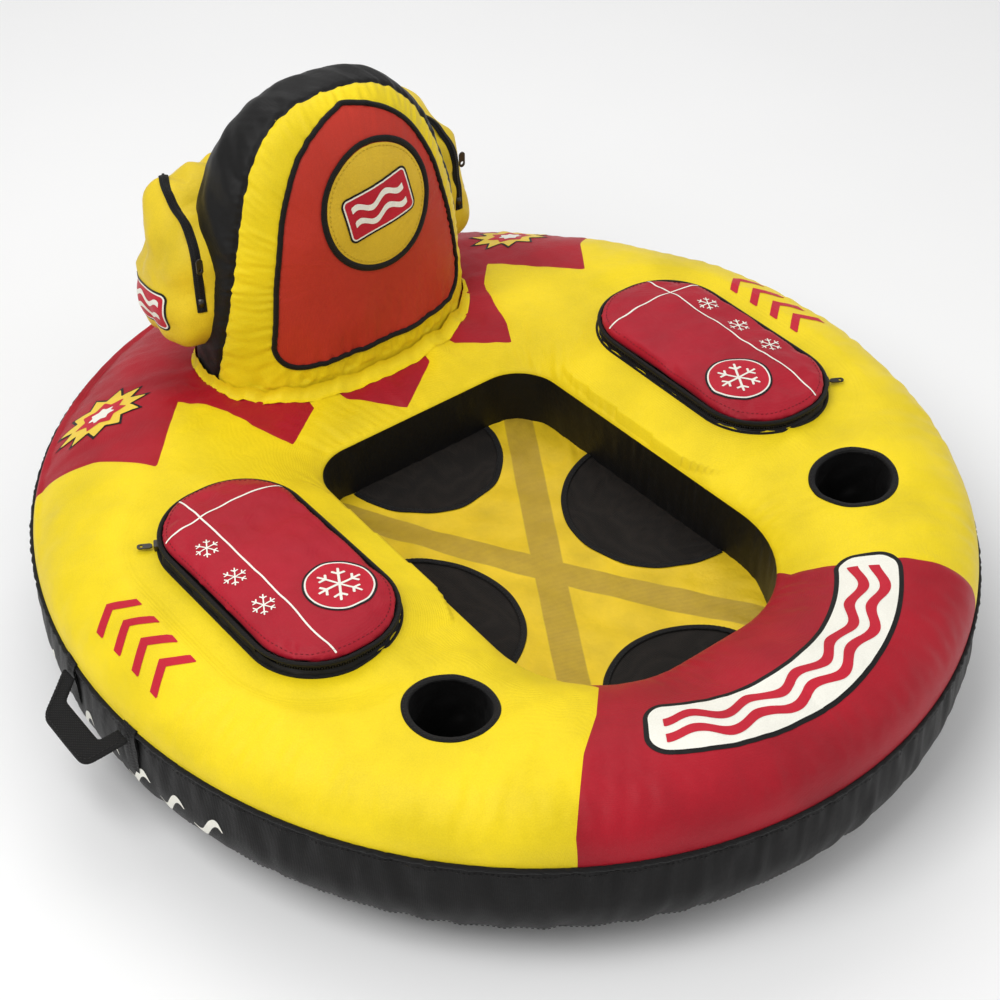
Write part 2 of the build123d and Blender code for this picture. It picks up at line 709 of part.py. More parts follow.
def make_pocket(side, name):
    """A zippered pocket sewn round the rear corner of the backrest."""
    slope_length = math.hypot(POCKET_BACK - POCKET_FRONT, POCKET_BACK_TOP - POCKET_FRONT_TOP)
    with BuildPart() as bag:
        add(pocket_block(side, 0))
        add(pocket_block(side, POCKET_WALL), mode=Mode.SUBTRACT)
        add(pocket_back_wall, mode=Mode.SUBTRACT)
        with BuildSketch(slope_plane(side, slope_length / 2, -OVER)):
            Rectangle(slope_length - 2 * ZIP_SLOT_END, ZIP_SLOT)
        extrude(amount=2 * OVER, mode=Mode.SUBTRACT)
    finish(bag.part, f"pocket_bag_{name}")

    with BuildPart() as tape:
        with BuildSketch(slope_plane(side, slope_length / 2, RUN)):
            Rectangle(slope_length - 2 * ZIP_TAPE_END, ZIP_TAPE)
        extrude(amount=ZIP_TAPE_THICK)
        with BuildSketch(slope_plane(side, ZIP_SLIDER_PLACE, RUN)):
            RectangleRounded(ZIP_SLIDER[0], ZIP_SLIDER[1], PULL_EYE)
        extrude(amount=ZIP_SLIDER[2])
    finish(tape.part, f"pocket_zipper_{name}")

    hang_top = POCKET_FRONT_TOP + ZIP_PULL_TOP
    with BuildPart() as pull:
        with BuildSketch(Plane.XZ.offset(-POCKET_FRONT + ZIP_PULL_GAP)):
            with Locations((side * ZIP_X, hang_top - ZIP_PULL[0] / 2)):
                SlotOverall(ZIP_PULL[0], ZIP_PULL[1], rotation=90)
            with Locations((side * ZIP_X, hang_top - ZIP_PULL_EYE_DROP)):
                Circle(ZIP_PULL_EYE, mode=Mode.SUBTRACT)
        extrude(amount=ZIP_PULL[2])
    finish(pull.part, f"pocket_pull_{name}")


pocket_back_wall = dome_form(-RUN - BADGE_THICK, DOME_BASE - 2 * OVER)
for side, side_name in ((-1, "left"), (1, "right")):
    make_pocket(side, side_name)
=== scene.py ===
"""Looks of an inflatable ride-on water tube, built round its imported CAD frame.

Metres, +Z up, -Y is the foot end and the backrest is at +Y.
"""
import math

import bpy
import numpy as np
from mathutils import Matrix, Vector
from mathutils.bvhtree import BVHTree


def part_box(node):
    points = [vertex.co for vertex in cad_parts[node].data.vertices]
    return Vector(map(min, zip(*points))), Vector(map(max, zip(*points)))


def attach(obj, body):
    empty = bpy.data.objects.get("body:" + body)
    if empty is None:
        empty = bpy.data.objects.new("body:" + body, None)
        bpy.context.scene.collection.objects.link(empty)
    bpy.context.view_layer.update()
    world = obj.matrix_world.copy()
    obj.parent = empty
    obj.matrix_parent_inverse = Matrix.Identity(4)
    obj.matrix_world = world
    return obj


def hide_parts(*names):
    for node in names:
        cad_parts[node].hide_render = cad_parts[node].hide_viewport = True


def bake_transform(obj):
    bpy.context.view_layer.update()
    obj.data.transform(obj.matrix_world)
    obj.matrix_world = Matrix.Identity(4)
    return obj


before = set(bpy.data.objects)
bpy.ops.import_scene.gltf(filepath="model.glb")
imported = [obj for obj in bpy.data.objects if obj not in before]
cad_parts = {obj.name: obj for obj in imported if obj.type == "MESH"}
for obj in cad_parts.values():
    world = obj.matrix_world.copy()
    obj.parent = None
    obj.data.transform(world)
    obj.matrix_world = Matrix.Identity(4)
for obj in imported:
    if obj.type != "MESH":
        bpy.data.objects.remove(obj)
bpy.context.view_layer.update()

LEFT, RIGHT = -1, 1
SIDES = ((LEFT, "left"), (RIGHT, "right"))

# ---- sizes read from the frame ---------------------------------------------------------------
band_low, band_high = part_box("side_band")
RING_X = band_high.x
RING_Y = band_high.y
OUTER_SEAM = band_high.z
BOTTOM_SEAM = band_low.z
INNER_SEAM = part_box("inner_wall")[1].z
SEAT_LOW, SEAT_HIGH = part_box("seat_floor")
FLOOR_Z = SEAT_HIGH.z
LID_LOW, LID_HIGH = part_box("locker_lid_right")
LID_CENTRE = np.array([(LID_LOW.x + LID_HIGH.x) / 2, (LID_LOW.y + LID_HIGH.y) / 2])
LID_HALF = np.array([(LID_HIGH.x - LID_LOW.x) / 2, (LID_HIGH.y - LID_LOW.y) / 2])
LID_ROUND = 0.080
TAPE_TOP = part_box("locker_base_tape_right")[1].z
CUP_LOW, CUP_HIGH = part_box("cup_liner_right")
CUP_CENTRE = np.array([(CUP_LOW.x + CUP_HIGH.x) / 2, (CUP_LOW.y + CUP_HIGH.y) / 2])
CUP_RADIUS = (CUP_HIGH.x - CUP_LOW.x) / 2
BACK_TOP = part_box("backrest_gusset")[1].z
BACK_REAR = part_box("backrest_back")[1].y
POCKET_LOW, POCKET_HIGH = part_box("pocket_bag_right")

# ---- ring ------------------------------------------------------------------------------------
RING_CENTRE = np.array([0.0, -0.110])     # the rays across the tube spread from here
CROWN = 0.2465
CROWN_SHARE = 0.6                         # of the tube's width, from the seat outwards
INNER_CURVE = 1.6
OUTER_CURVE = 2.3
OUTER_BOTTOM_ROUND = 0.115
INNER_BOTTOM_ROUND = 0.045
REAR_DROP = 0.016                         # the tube sinks a little behind the backrest
REAR_SOFTER = 0.45                        # and its shoulder is rounder there
SEAT_CORNERS = [
    (-0.175, SEAT_HIGH.y), (0.175, SEAT_HIGH.y), (0.192, SEAT_LOW.y), (-0.192, SEAT_LOW.y)
]
SEAT_ROUNDS = [0.060, 0.060, 0.140, 0.140]

# ---- seat floor, backrest, valve and lockers -------------------------------------------------
DISC_SIDE = (0.190, -0.088)
DISC_PLACES = {
    "right": (DISC_SIDE, 0.122), "left": ((-DISC_SIDE[0], DISC_SIDE[1]), 0.122),
    "rear": ((0, 0.170), 0.106), "front": ((0, -0.366), 0.106),
}
STRAP_TURN = math.radians(58.7)
STRAP_LEAN = (math.cos(STRAP_TURN), math.sin(STRAP_TURN))
STRAP_HALF = 0.019
STRAP_CROSS_Y = -0.097
BACK_HALF = 0.191
BACK_DEPTH = 0.107
BACK_CENTRE_Y = 0.356
BACK_PLAN_CURVE = 2.367
BACK_FOOT = 0.245                         # level where the backrest leaves the tube
VALVE_TURN = math.radians(60)
VALVE_Z = 0.112
LOCKER_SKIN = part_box("locker_slider_left")[0].z - 0.0015

# ---- colours, as seen (sRGB) -----------------------------------------------------------------
YELLOW = (243, 214, 22)
RED = (170, 15, 35)
ORANGE_RED = (190, 52, 38)
BLACK = (9, 8, 8)
WHITE = (242, 240, 228)
FLOOR_YELLOW = (232, 196, 28)
STRAP_KHAKI = (150, 122, 40)
FOAM_SILVER = (176, 180, 182)
PVC_GREY = (150, 156, 160)
GUNMETAL = (70, 68, 66)


# ================================= outlines and fields =========================================
def round_corners(corners, radii, steps=16):
    """A closed outline whose corners are arcs."""
    corners = [np.array(c, float) for c in corners]
    points = []
    for index, radius in enumerate(radii):
        here = corners[index]
        back = corners[index - 1] - here
        ahead = corners[(index + 1) % len(corners)] - here
        back /= np.linalg.norm(back)
        ahead /= np.linalg.norm(ahead)
        half = math.acos(np.clip(back @ ahead, -1, 1)) / 2
        middle = back + ahead
        centre = here + middle / np.linalg.norm(middle) * radius / math.sin(half)
        first = here + back * radius / math.tan(half) - centre
        last = here + ahead * radius / math.tan(half) - centre
        start = math.atan2(first[1], first[0])
        sweep = (math.atan2(last[1], last[0]) - start + math.pi) % (2 * math.pi) - math.pi
        for angle in np.linspace(start, start + sweep, steps):
            points.append(centre + radius * np.array([math.cos(angle), math.sin(angle)]))
    return np.array(points)


def polygon(p, corners):
    """Distance from flat points to a closed outline, negative inside."""
    corners = np.asarray(corners, float)
    nearest = np.full(len(p), 1e9)
    inside = np.zeros(len(p), bool)
    for a, b in zip(corners, np.roll(corners, -1, axis=0)):
        edge = b - a
        along = np.clip(((p - a) @ edge) / (edge @ edge), 0, 1)
        nearest = np.minimum(nearest, np.hypot(*(p - a - along[:, None] * edge).T))
        if a[1] != b[1]:
            crosses = (a[1] > p[:, 1]) != (b[1] > p[:, 1])
            inside ^= crosses & (p[:, 0] < a[0] + (p[:, 1] - a[1]) * edge[0] / edge[1])
    return np.where(inside, -nearest, nearest)


def circle(p, centre, radius):
    return np.hypot(p[:, 0] - centre[0], p[:, 1] - centre[1]) - radius


def rounded_box(p, centre, half, radius):
    q = np.abs(p - np.asarray(centre)) - np.asarray(half) + radius
    return np.hypot(*np.maximum(q, 0).T) + np.minimum(q.max(axis=1), 0) - radius


def locker_field(p, side, grow=0.0):
    return rounded_box(p, LID_CENTRE * (side, 1), LID_HALF + grow, LID_ROUND + grow)


def cup_field(p, side, grow=0.0):
    return circle(p, CUP_CENTRE * (side, 1), CUP_RADIUS + grow)


SEAT_OUTLINE = round_corners(SEAT_CORNERS, SEAT_ROUNDS)


def seat_field(p):
    return polygon(p, SEAT_OUTLINE)


def smooth_step(low, high, value):
    t = np.clip((value - low) / (high - low), 0, 1)
    return t * t * (3 - 2 * t)


# ================================= cloth noise =================================================
def crumple(a, b, scale, seed, waves=22):
    """Smooth seeded noise over two coordinates, about -1 to 1, with detail near scale."""
    source = np.random.default_rng(seed)
    total = np.zeros(np.shape(a))
    for _ in range(waves):
        heading = source.uniform(0, 2 * math.pi)
        rate = 2 * math.pi / (scale * source.uniform(0.7, 1.6))
        shift = source.uniform(0, 2 * math.pi)
        total += np.sin(rate * (a * math.cos(heading) + b * math.sin(heading)) + shift)
    return total / math.sqrt(waves)


def puckers(along, across, pitch, reach, seed):
    """Gathers that leave a seam square to it and die out over reach."""
    source = np.random.default_rng(seed)
    total = np.zeros(np.shape(along))
    for _ in range(9):
        rate = 2 * math.pi / (pitch * source.uniform(0.55, 2.2))
        drift = source.uniform(-0.5, 0.5)
        total += np.sin(rate * (along + drift * across) + source.uniform(0, 2 * math.pi))
    return total / 3 * np.exp(-np.maximum(across, 0) / reach)


# ================================= meshes ======================================================
def grid_faces(rows, columns, wrap=False):
    faces = []
    for row in range(rows - 1):
        for column in range(columns if wrap else columns - 1):
            after = (column + 1) % columns
            here = row * columns
            faces.append((here + column, here + after, here + columns + after, here + columns + column))
    return faces


def cut(points, faces, field):
    """Cut a surface where field is zero; gives the points, then the faces inside and outside."""
    value = field(points)
    value[np.abs(value) < 1e-7] = 1e-7
    pairs = set()
    mixed = []
    inside, outside = [], []
    for face in faces:
        signs = [value[i] < 0 for i in face]
        if all(signs):
            inside.append(face)
        elif not any(signs):
            outside.append(face)
        else:
            mixed.append(face)
            for i, j in zip(face, face[1:] + face[:1]):
                if (value[i] < 0) != (value[j] < 0):
                    pairs.add((min(i, j), max(i, j)))
    if not pairs:
        return points, inside, outside
    ends = np.array(sorted(pairs))
    low, high = points[ends[:, 0]], points[ends[:, 1]]
    f_low, f_high = value[ends[:, 0]].copy(), value[ends[:, 1]].copy()
    share = f_low / (f_low - f_high)
    middle = low + share[:, None] * (high - low)
    f_middle = field(middle)
    same = (f_middle < 0) == (f_low < 0)
    refined = np.where(
        same,
        share + (1 - share) * f_middle / np.where(same, f_middle - f_high, 1),
        share * f_low / np.where(same, 1, f_low - f_middle),
    )
    share = np.clip(refined, 0.001, 0.999)
    new = low + share[:, None] * (high - low)
    number = {tuple(pair): len(points) + k for k, pair in enumerate(ends.tolist())}
    for face in mixed:
        for keep, bucket in ((True, inside), (False, outside)):
            corners = []
            for i, j in zip(face, face[1:] + face[:1]):
                if (value[i] < 0) == keep:
                    corners.append(i)
                if (value[i] < 0) != (value[j] < 0):
                    corners.append(number[min(i, j), max(i, j)])
            if len(corners) > 2:
                bucket.append(tuple(corners))
    return np.vstack([points, new]), inside, outside


def make_piece(name, points, faces, material, body="tube", stands_for=(), slot=None):
    """A mesh object from points and faces that rides on a CAD body."""
    used = sorted({i for face in faces for i in face})
    number = {old: new for new, old in enumerate(used)}
    mesh = bpy.data.meshes.new(name)
    mesh.from_pydata(np.asarray(points)[used].tolist(), [], [[number[i] for i in f] for f in faces])
    mesh.validate()
    mesh.polygons.foreach_set("use_smooth", [True] * len(mesh.polygons))
    mesh.materials.append(material)
    piece = bpy.data.objects.new(name, mesh)
    bpy.context.scene.collection.objects.link(piece)
    if body:
        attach(piece, body)
    if stands_for:
        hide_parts(*stands_for)
    return piece


def join_parts(parts):
    """Several (points, faces) as one."""
    points, faces = [], []
    for part_points, part_faces in parts:
        start = sum(len(p) for p in points)
        points.append(np.asarray(part_points))
        faces += [tuple(i + start for i in f) for f in part_faces]
    return np.vstack(points), faces


def shell(top, under, faces):
    """Two layers of points that share their faces, the under one turned over."""
    return join_parts([(top, faces), (under, [tuple(reversed(face)) for face in faces])])


def on_ring(turn, reach, level=None):
    """Points at a reach from the ring's centre along rays, flat or at a level."""
    flat = RING_CENTRE + reach[:, None] * np.stack([np.cos(turn), np.sin(turn)], axis=1)
    return flat if level is None else np.column_stack([flat, np.full(len(turn), level)])


def normals_of(points, faces):
    """Smooth normals at the points of a surface."""
    normals = np.zeros_like(points)
    for face in faces:
        a, b, c = points[face[0]], points[face[1]], points[face[2]]
        normal = np.cross(b - a, c - a)
        for i in face:
            normals[i] += normal
    length = np.linalg.norm(normals, axis=1, keepdims=True)
    return normals / np.maximum(length, 1e-12)


def boundary_loops(faces):
    """The open edges of a surface as closed loops of point numbers, longest first."""
    edges = {}
    for face in faces:
        for i, j in zip(face, face[1:] + face[:1]):
            if (j, i) in edges:
                del edges[j, i]
            else:
                edges[i, j] = True
    follow = {i: j for i, j in edges}
    loops = []
    while follow:
        start, here = follow.popitem()
        loop = [start]
        while here != start and here in follow:
            loop.append(here)
            here = follow.pop(here)
        loops.append(loop)
    return sorted(loops, key=len, reverse=True)


def even_path(points, pitch, closed=True):
    """A path resampled at an even pitch, with small jitters smoothed away."""
    points = np.asarray(points, float)
    if closed:
        points = np.vstack([points, points[:1]])
    gap = np.linalg.norm(np.diff(points, axis=0), axis=1)
    reach = np.concatenate([[0], np.cumsum(gap)])
    count = max(8, int(round(reach[-1] / pitch)))
    at = np.linspace(0, reach[-1], count, endpoint=not closed)
    path = np.stack([np.interp(at, reach, points[:, k]) for k in range(3)], axis=1)
    for _ in range(2):
        if closed:
            path = (np.roll(path, 1, axis=0) + 2 * path + np.roll(path, -1, axis=0)) / 4
        else:
            path[1:-1] = (path[:-2] + 2 * path[1:-1] + path[2:]) / 4
    return path


def rod(path, radius, closed=True, sides=8, flat=1.0, up=(0, 0, 1)):
    """A round or flattened cord swept along a path; up is the way its flat side faces."""
    path = np.asarray(path, float)
    if closed:
        tangent = np.roll(path, -1, axis=0) - np.roll(path, 1, axis=0)
    else:
        tangent = np.gradient(path, axis=0)
    tangent /= np.linalg.norm(tangent, axis=1, keepdims=True)
    up = np.broadcast_to(np.asarray(up, float), path.shape)
    side = np.cross(tangent, up)
    side /= np.maximum(np.linalg.norm(side, axis=1, keepdims=True), 1e-9)
    lift = np.cross(side, tangent)
    rings = []
    for angle in np.linspace(0, 2 * math.pi, sides, endpoint=False):
        rings.append(path + radius * (math.cos(angle) * side + flat * math.sin(angle) * lift))
    count = len(path)
    points = np.vstack(rings)
    faces = []
    for k in range(sides):
        after = (k + 1) % sides
        for i in range(count if closed else count - 1):
            j = (i + 1) % count
            faces.append((k * count + i, k * count + j, after * count + j, after * count + i))
    if not closed:
        faces.append(tuple(k * count for k in range(sides)))
        faces.append(tuple(k * count + count - 1 for k in reversed(range(sides))))
    return points, faces


def stitches(path, up, length=0.0035, gap=0.0025, radius=0.0005, closed=True):
    """A row of thread stitches along a path that already lies on its cloth."""
    fine = even_path(path, (length + gap) / 4, closed)
    step = 4
    used = 1 + int(round(length / (length + gap) * step))
    up = np.asarray(up, float)
    parts = []
    for start in range(0, len(fine) - used, step):
        piece = fine[start:start + used]
        face_up = up[min(start * len(up) // len(fine), len(up) - 1)] if up.ndim == 2 else up
        parts.append(rod(piece, radius, closed=False, sides=5, flat=0.7, up=face_up))
    return join_parts(parts)


def plan_grid(low, high, pitch):
    """Flat points over a rectangle, and their faces."""
    columns = max(2, int(math.ceil((high[0] - low[0]) / pitch)) + 1)
    rows = max(2, int(math.ceil((high[1] - low[1]) / pitch)) + 1)
    x, y = np.meshgrid(np.linspace(low[0], high[0], columns), np.linspace(low[1], high[1], rows))
    return np.stack([x.ravel(), y.ravel()], axis=1), grid_faces(rows, columns)


class Sheet:
    """A flat drawing board in space: origin, and unit axes u, v and n (towards the viewer)."""

    def __init__(self, origin, u, v):
        self.origin = np.array(origin, float)
        self.u = np.array(u, float) / np.linalg.norm(u)
        self.v = np.array(v, float) / np.linalg.norm(v)
        self.n = np.cross(self.u, self.v)

    def place(self, flat, height=0.0):
        height = np.broadcast_to(height, (len(flat),))
        return (
            self.origin
            + flat[:, :1] * self.u
            + flat[:, 1:2] * self.v
            + height[:, None] * self.n
        )

    def flatten(self, points):
        return np.stack([(points - self.origin) @ self.u, (points - self.origin) @ self.v], axis=1)


GROUND = Sheet((0, 0, 0), (1, 0, 0), (0, 1, 0))


def tree_of(*pieces):
    """A ray-casting tree over some finished pieces."""
    points, faces = [], []
    for piece in pieces:
        start = len(points)
        points += [v.co[:] for v in piece.data.vertices]
        faces += [[i + start for i in face.vertices] for face in piece.data.polygons]
    return BVHTree.FromPolygons(points, faces)


def drape(board, tree, flat, lift, reach=0.5):
    """Points of a drawing board laid onto a surface, raised by lift along its normal."""
    start = board.place(flat, reach)
    laid = np.full_like(start, np.nan)
    for i, point in enumerate(start):
        hit, normal, _, _ = tree.ray_cast(Vector(point), Vector(-board.n))
        if hit is not None:
            if normal.dot(Vector(board.n)) < 0:
                normal = -normal
            laid[i] = np.array(hit) + lift * np.array(normal)
    return laid


def printed(name, board, tree, field, low, high, material, body="tube", lift=0.0004, pitch=0.002,
            slot=None):
    """A printed or sewn-on shape that lies on the surface below its drawing board."""
    flat, faces = plan_grid(low, high, pitch)
    points, inside, _ = cut(flat, faces, field)
    used = sorted({i for face in inside for i in face})
    laid = np.full((len(points), 3), np.nan)
    laid[used] = drape(board, tree, points[used], lift)
    good = ~np.isnan(laid[:, 0])
    kept = [face for face in inside if all(good[i] for i in face)]
    laid[~good] = 0
    return make_piece(name, laid, kept, material, body, slot=slot)


def pillow(board, field, low, high, pitch, thick, edge, crown=None):
    """A closed padded form over an outline: (points, faces)."""
    flat, faces = plan_grid(low, high, pitch)
    points, inside, _ = cut(flat, faces, field)
    depth = np.clip(-field(points) / edge, 0, 1)
    half = thick / 2 * np.sqrt(1 - (1 - depth) ** 2)
    lift = np.zeros(len(points)) if crown is None else crown(points)
    return shell(board.place(points, half + lift), board.place(points, lift - half), inside)


# ================================= materials ===================================================
def paint(colour):
    """Linear RGBA for an sRGB colour."""
    linear = [c / 255 / 12.92 if c <= 10 else ((c / 255 + 0.055) / 1.055) ** 2.4 for c in colour]
    return (*linear, 1.0)


class Finish:
    """One node material under construction."""

    def __init__(self, name):
        self.material = bpy.data.materials.new(name)
        self.material.use_nodes = True
        self.tree = self.material.node_tree
        self.shader = self.tree.nodes["Principled BSDF"]
        self.place = self.tree.nodes.new("ShaderNodeTexCoord").outputs["Object"]

    def node(self, kind, inputs=None, **settings):
        made = self.tree.nodes.new(kind)
        for key, value in settings.items():
            setattr(made, key, value)
        for key, value in (inputs or {}).items():
            self.feed(made.inputs[key], value)
        return made

    def feed(self, socket, value):
        if isinstance(value, bpy.types.NodeSocket):
            self.tree.links.new(value, socket)
        else:
            socket.default_value = value

    def set(self, **values):
        for key, value in values.items():
            self.feed(self.shader.inputs[key.replace("_", " ")], value)

    def math(self, operation, a, b=0.0):
        return self.node("ShaderNodeMath", {0: a, 1: b}, operation=operation).outputs[0]

    def noise(self, scale, detail=3.0, stretch=(1, 1, 1)):
        scaled = self.node("ShaderNodeVectorMath", {0: self.place, 1: stretch}, operation="MULTIPLY")
        return self.node(
            "ShaderNodeTexNoise", {"Vector": scaled.outputs[0], "Scale": scale, "Detail": detail}
        ).outputs["Fac"]

    def wave(self, pitch, axis, distortion=0.0):
        """Ribs with a pitch in metres, square to an axis."""
        return self.node(
            "ShaderNodeTexWave",
            {"Vector": self.place, "Scale": 0.314 / pitch, "Distortion": distortion},
            wave_type="BANDS", bands_direction=axis,
        ).outputs["Fac"]

    def ramp(self, fac, low, high, start=0.0, end=1.0):
        """Colour from low to high as fac goes from start to end."""
        made = self.node("ShaderNodeValToRGB", {0: fac})
        made.color_ramp.elements[0].position = start
        made.color_ramp.elements[1].position = end
        made.color_ramp.elements[0].color = low
        made.color_ramp.elements[1].color = high
        return made.outputs[0]

    def blend(self, fac, low, high):
        made = self.node("ShaderNodeMix", data_type="RGBA")
        self.feed(made.inputs[0], fac)
        self.feed(made.inputs[6], low)
        self.feed(made.inputs[7], high)
        return made.outputs[2]

    def bumps(self, *layers):
        """Stack of (height, distance in metres) bump layers, the first one the finest."""
        normal = None
        for height, distance in reversed(layers):
            bump = self.node("ShaderNodeBump", {"Height": height, "Distance": distance, "Strength": 1.0})
            if normal is not None:
                self.feed(bump.inputs["Normal"], normal)
            normal = bump.outputs[0]
        self.feed(self.shader.inputs["Normal"], normal)


def shade(colour, factor):
    return tuple(min(1.0, c * factor) for c in colour[:3]) + (1.0,)


def nylon(name, colour, weave=0.0011, crinkle=0.0012, sheen=0.04, rough=0.48, dull=0.80):
    """Coated woven nylon: a fine plain weave, soft crinkles and slight wear in its colour."""
    made = Finish(name)
    base = paint(colour)
    cloud = made.noise(9.0, 4.0)
    tone = made.ramp(cloud, shade(base, dull), base, 0.30, 0.62)
    grain = made.noise(650.0, 2.0)
    tone = made.blend(0.10, tone, made.ramp(grain, shade(base, 0.55), shade(base, 1.25), 0.35, 0.65))
    made.set(Base_Color=tone, Sheen_Weight=sheen, Sheen_Roughness=0.45, Specular_IOR_Level=0.24)
    made.set(Roughness=made.math("ADD", made.math("MULTIPLY", made.noise(40.0), 0.16), rough - 0.08))
    weft = made.math("MULTIPLY", made.wave(weave, "X"), made.wave(weave, "Y"))
    warp = made.math("ADD", weft, made.wave(weave, "Z"))
    made.bumps((warp, 0.00010), (made.noise(95.0, 4.0), 0.00045), (made.noise(24.0, 3.0), crinkle))
    return made.material


def band_nylon(name, colour):
    """The black side cloth: heavier weave, upright crinkles, and painted sheen that makes the raised crinkles
    lighter.
    """
    made = Finish(name)
    base = paint(colour)
    creases = made.noise(46.0, 4.0, (1, 1, 0.22))
    # Colour is lighter where the crinkle bump is high: painted sheen on the crinkle tops.
    tone = made.ramp(creases, base, shade(base, 1.4), 0.42, 0.75)
    made.set(Base_Color=tone, Roughness=0.52, Sheen_Weight=0.03, Sheen_Roughness=0.4,
             Specular_IOR_Level=0.18)
    weft = made.math("MULTIPLY", made.wave(0.0014, "X"), made.wave(0.0014, "Z"))
    made.bumps((weft, 0.00014), (creases, 0.0016), (made.noise(150.0), 0.00025))
    return made.material


def open_mesh(name):
    """Drain mesh: a knitted net whose small holes are painted dark as the shade beneath it."""
    made = Finish(name)
    net = made.node(
        "ShaderNodeTexVoronoi", {"Vector": made.place, "Scale": 420.0, "Randomness": 0.25},
        feature="F1",
    ).outputs["Distance"]
    # Dark cell centres are the holes, painted dark as the shade under the floor; the lighter borders are the
    # black threads.
    tone = made.ramp(net, paint((8, 7, 6)), paint((34, 29, 25)), 0.25, 0.62)
    cloud = made.noise(14.0)
    tone = made.blend(0.35, tone, made.ramp(cloud, paint((16, 14, 12)), paint((30, 26, 23)), 0.35, 0.65))
    made.set(Base_Color=tone, Roughness=0.72, Sheen_Weight=0.02, Specular_IOR_Level=0.2)
    made.bumps((net, 0.0006), (made.noise(30.0), 0.0008))
    return made.material


def webbing(name, colour, pitch=0.0024):
    """Flat woven webbing with a herringbone rib."""
    made = Finish(name)
    base = paint(colour)
    rib = made.wave(pitch, "DIAGONAL", 0.4)
    cross = made.wave(pitch * 0.6, "X")
    tone = made.ramp(rib, shade(base, 0.6), shade(base, 1.5), 0.1, 0.9)
    made.set(Base_Color=tone, Roughness=0.62, Sheen_Weight=0.04, Sheen_Roughness=0.5,
             Specular_IOR_Level=0.25)
    made.bumps((made.math("MULTIPLY", rib, cross), 0.0005), (made.noise(60.0), 0.0004))
    return made.material


def floor_cloth(name):
    """Thin floor cloth: the crossing straps underneath show through it."""
    made = Finish(name)
    split = made.node("ShaderNodeSeparateXYZ", {0: made.place})
    x, y = split.outputs[0], split.outputs[1]
    through = None
    for lean in (LEFT, RIGHT):
        across = made.math("SUBTRACT", made.math("MULTIPLY", x, lean * STRAP_LEAN[1]),
                           made.math("MULTIPLY", made.math("SUBTRACT", y, STRAP_CROSS_Y), STRAP_LEAN[0]))
        gap = made.math("SUBTRACT", made.math("ABSOLUTE", across), STRAP_HALF)
        near = made.math("SUBTRACT", 1.0, made.node(
            "ShaderNodeMapRange", {"Value": gap, "From Min": -0.0008, "From Max": 0.0010}).outputs[0])
        through = near if through is None else made.math("MAXIMUM", through, near)
    base = paint(FLOOR_YELLOW)
    cloth = made.ramp(made.noise(16.0, 5.0), shade(base, 0.80), shade(base, 1.08), 0.3, 0.7)
    twill = made.wave(0.0016, "DIAGONAL", 0.6)
    strap = made.ramp(twill, paint(STRAP_KHAKI), paint((184, 152, 44)), 0.2, 0.8)
    patchy = made.math("ADD", 0.62, made.math("MULTIPLY", made.noise(70.0), 0.35))
    shows = made.math("MULTIPLY", through, patchy)
    made.set(Base_Color=made.blend(shows, cloth, strap), Roughness=0.42, Sheen_Weight=0.05,
             Specular_IOR_Level=0.3)
    weft = made.math("MULTIPLY", made.wave(0.0010, "X"), made.wave(0.0010, "Y"))
    made.bumps((weft, 0.0001), (made.noise(120.0, 3.0), 0.0005), (made.noise(26.0, 4.0), 0.0018))
    return made.material


def moulded(name, colour, rough=0.42, metallic=0.0, grain=0.0001):
    """Moulded plastic or cast metal with a fine surface grain and rubbed tone."""
    made = Finish(name)
    base = paint(colour)
    tone = made.ramp(made.noise(30.0, 4.0), shade(base, 0.82), shade(base, 1.12), 0.3, 0.7)
    made.set(Base_Color=tone, Metallic=metallic, Specular_IOR_Level=0.5)
    made.set(Roughness=made.math("ADD", made.math("MULTIPLY", made.noise(90.0), 0.18), rough - 0.09))
    made.bumps((made.noise(900.0, 2.0), grain), (made.noise(140.0), grain))
    return made.material


def foam(name, colour):
    """Foil-faced closed-cell foam of the cooler liners."""
    made = Finish(name)
    cells = made.node("ShaderNodeTexVoronoi", {"Vector": made.place, "Scale": 260.0}).outputs["Distance"]
    tone = made.ramp(cells, shade(paint(colour), 0.7), paint(colour), 0.0, 0.6)
    made.set(Base_Color=tone, Roughness=0.38, Metallic=0.35)
    made.bumps((cells, 0.0003), (made.noise(35.0, 4.0), 0.0012))
    return made.material


YELLOW_CLOTH = nylon("yellow_nylon", YELLOW)
RED_CLOTH = nylon("red_nylon", RED, dull=0.72)
FACE_CLOTH = nylon("orange_red_nylon", ORANGE_RED, crinkle=0.0006, dull=0.90)
LID_CLOTH = nylon("lid_red_nylon", (172, 18, 40), crinkle=0.0016, dull=0.78)
BACK_CLOTH = nylon("black_nylon", BLACK, crinkle=0.0010, sheen=0.03)
BAND_CLOTH = band_nylon("black_band_nylon", BLACK)
BINDING_CLOTH = webbing("black_binding", BLACK, 0.0016)
BLACK_WEBBING = webbing("black_webbing", BLACK)
KHAKI_WEBBING = webbing("khaki_webbing", STRAP_KHAKI)
MESH_CLOTH = open_mesh("drain_mesh")
FLOOR_CLOTH = floor_cloth("floor_cloth")
WHITE_PRINT = nylon("white_print", WHITE, crinkle=0.0008, dull=0.90)
BLACK_PRINT = nylon("black_print", (10, 9, 9), crinkle=0.0008)
RED_PRINT = nylon("red_print", (196, 24, 48), crinkle=0.0008)
YELLOW_PRINT = nylon("yellow_print", (240, 206, 70), crinkle=0.0008)
WEBBING_THREAD = webbing("black_thread", (38, 36, 36), 0.0008)
LID_THREAD = webbing("dark_red_thread", (120, 16, 30), 0.0008)
BADGE_CLOTH = nylon("badge_yellow", (226, 188, 46), weave=0.0016, crinkle=0.0006)
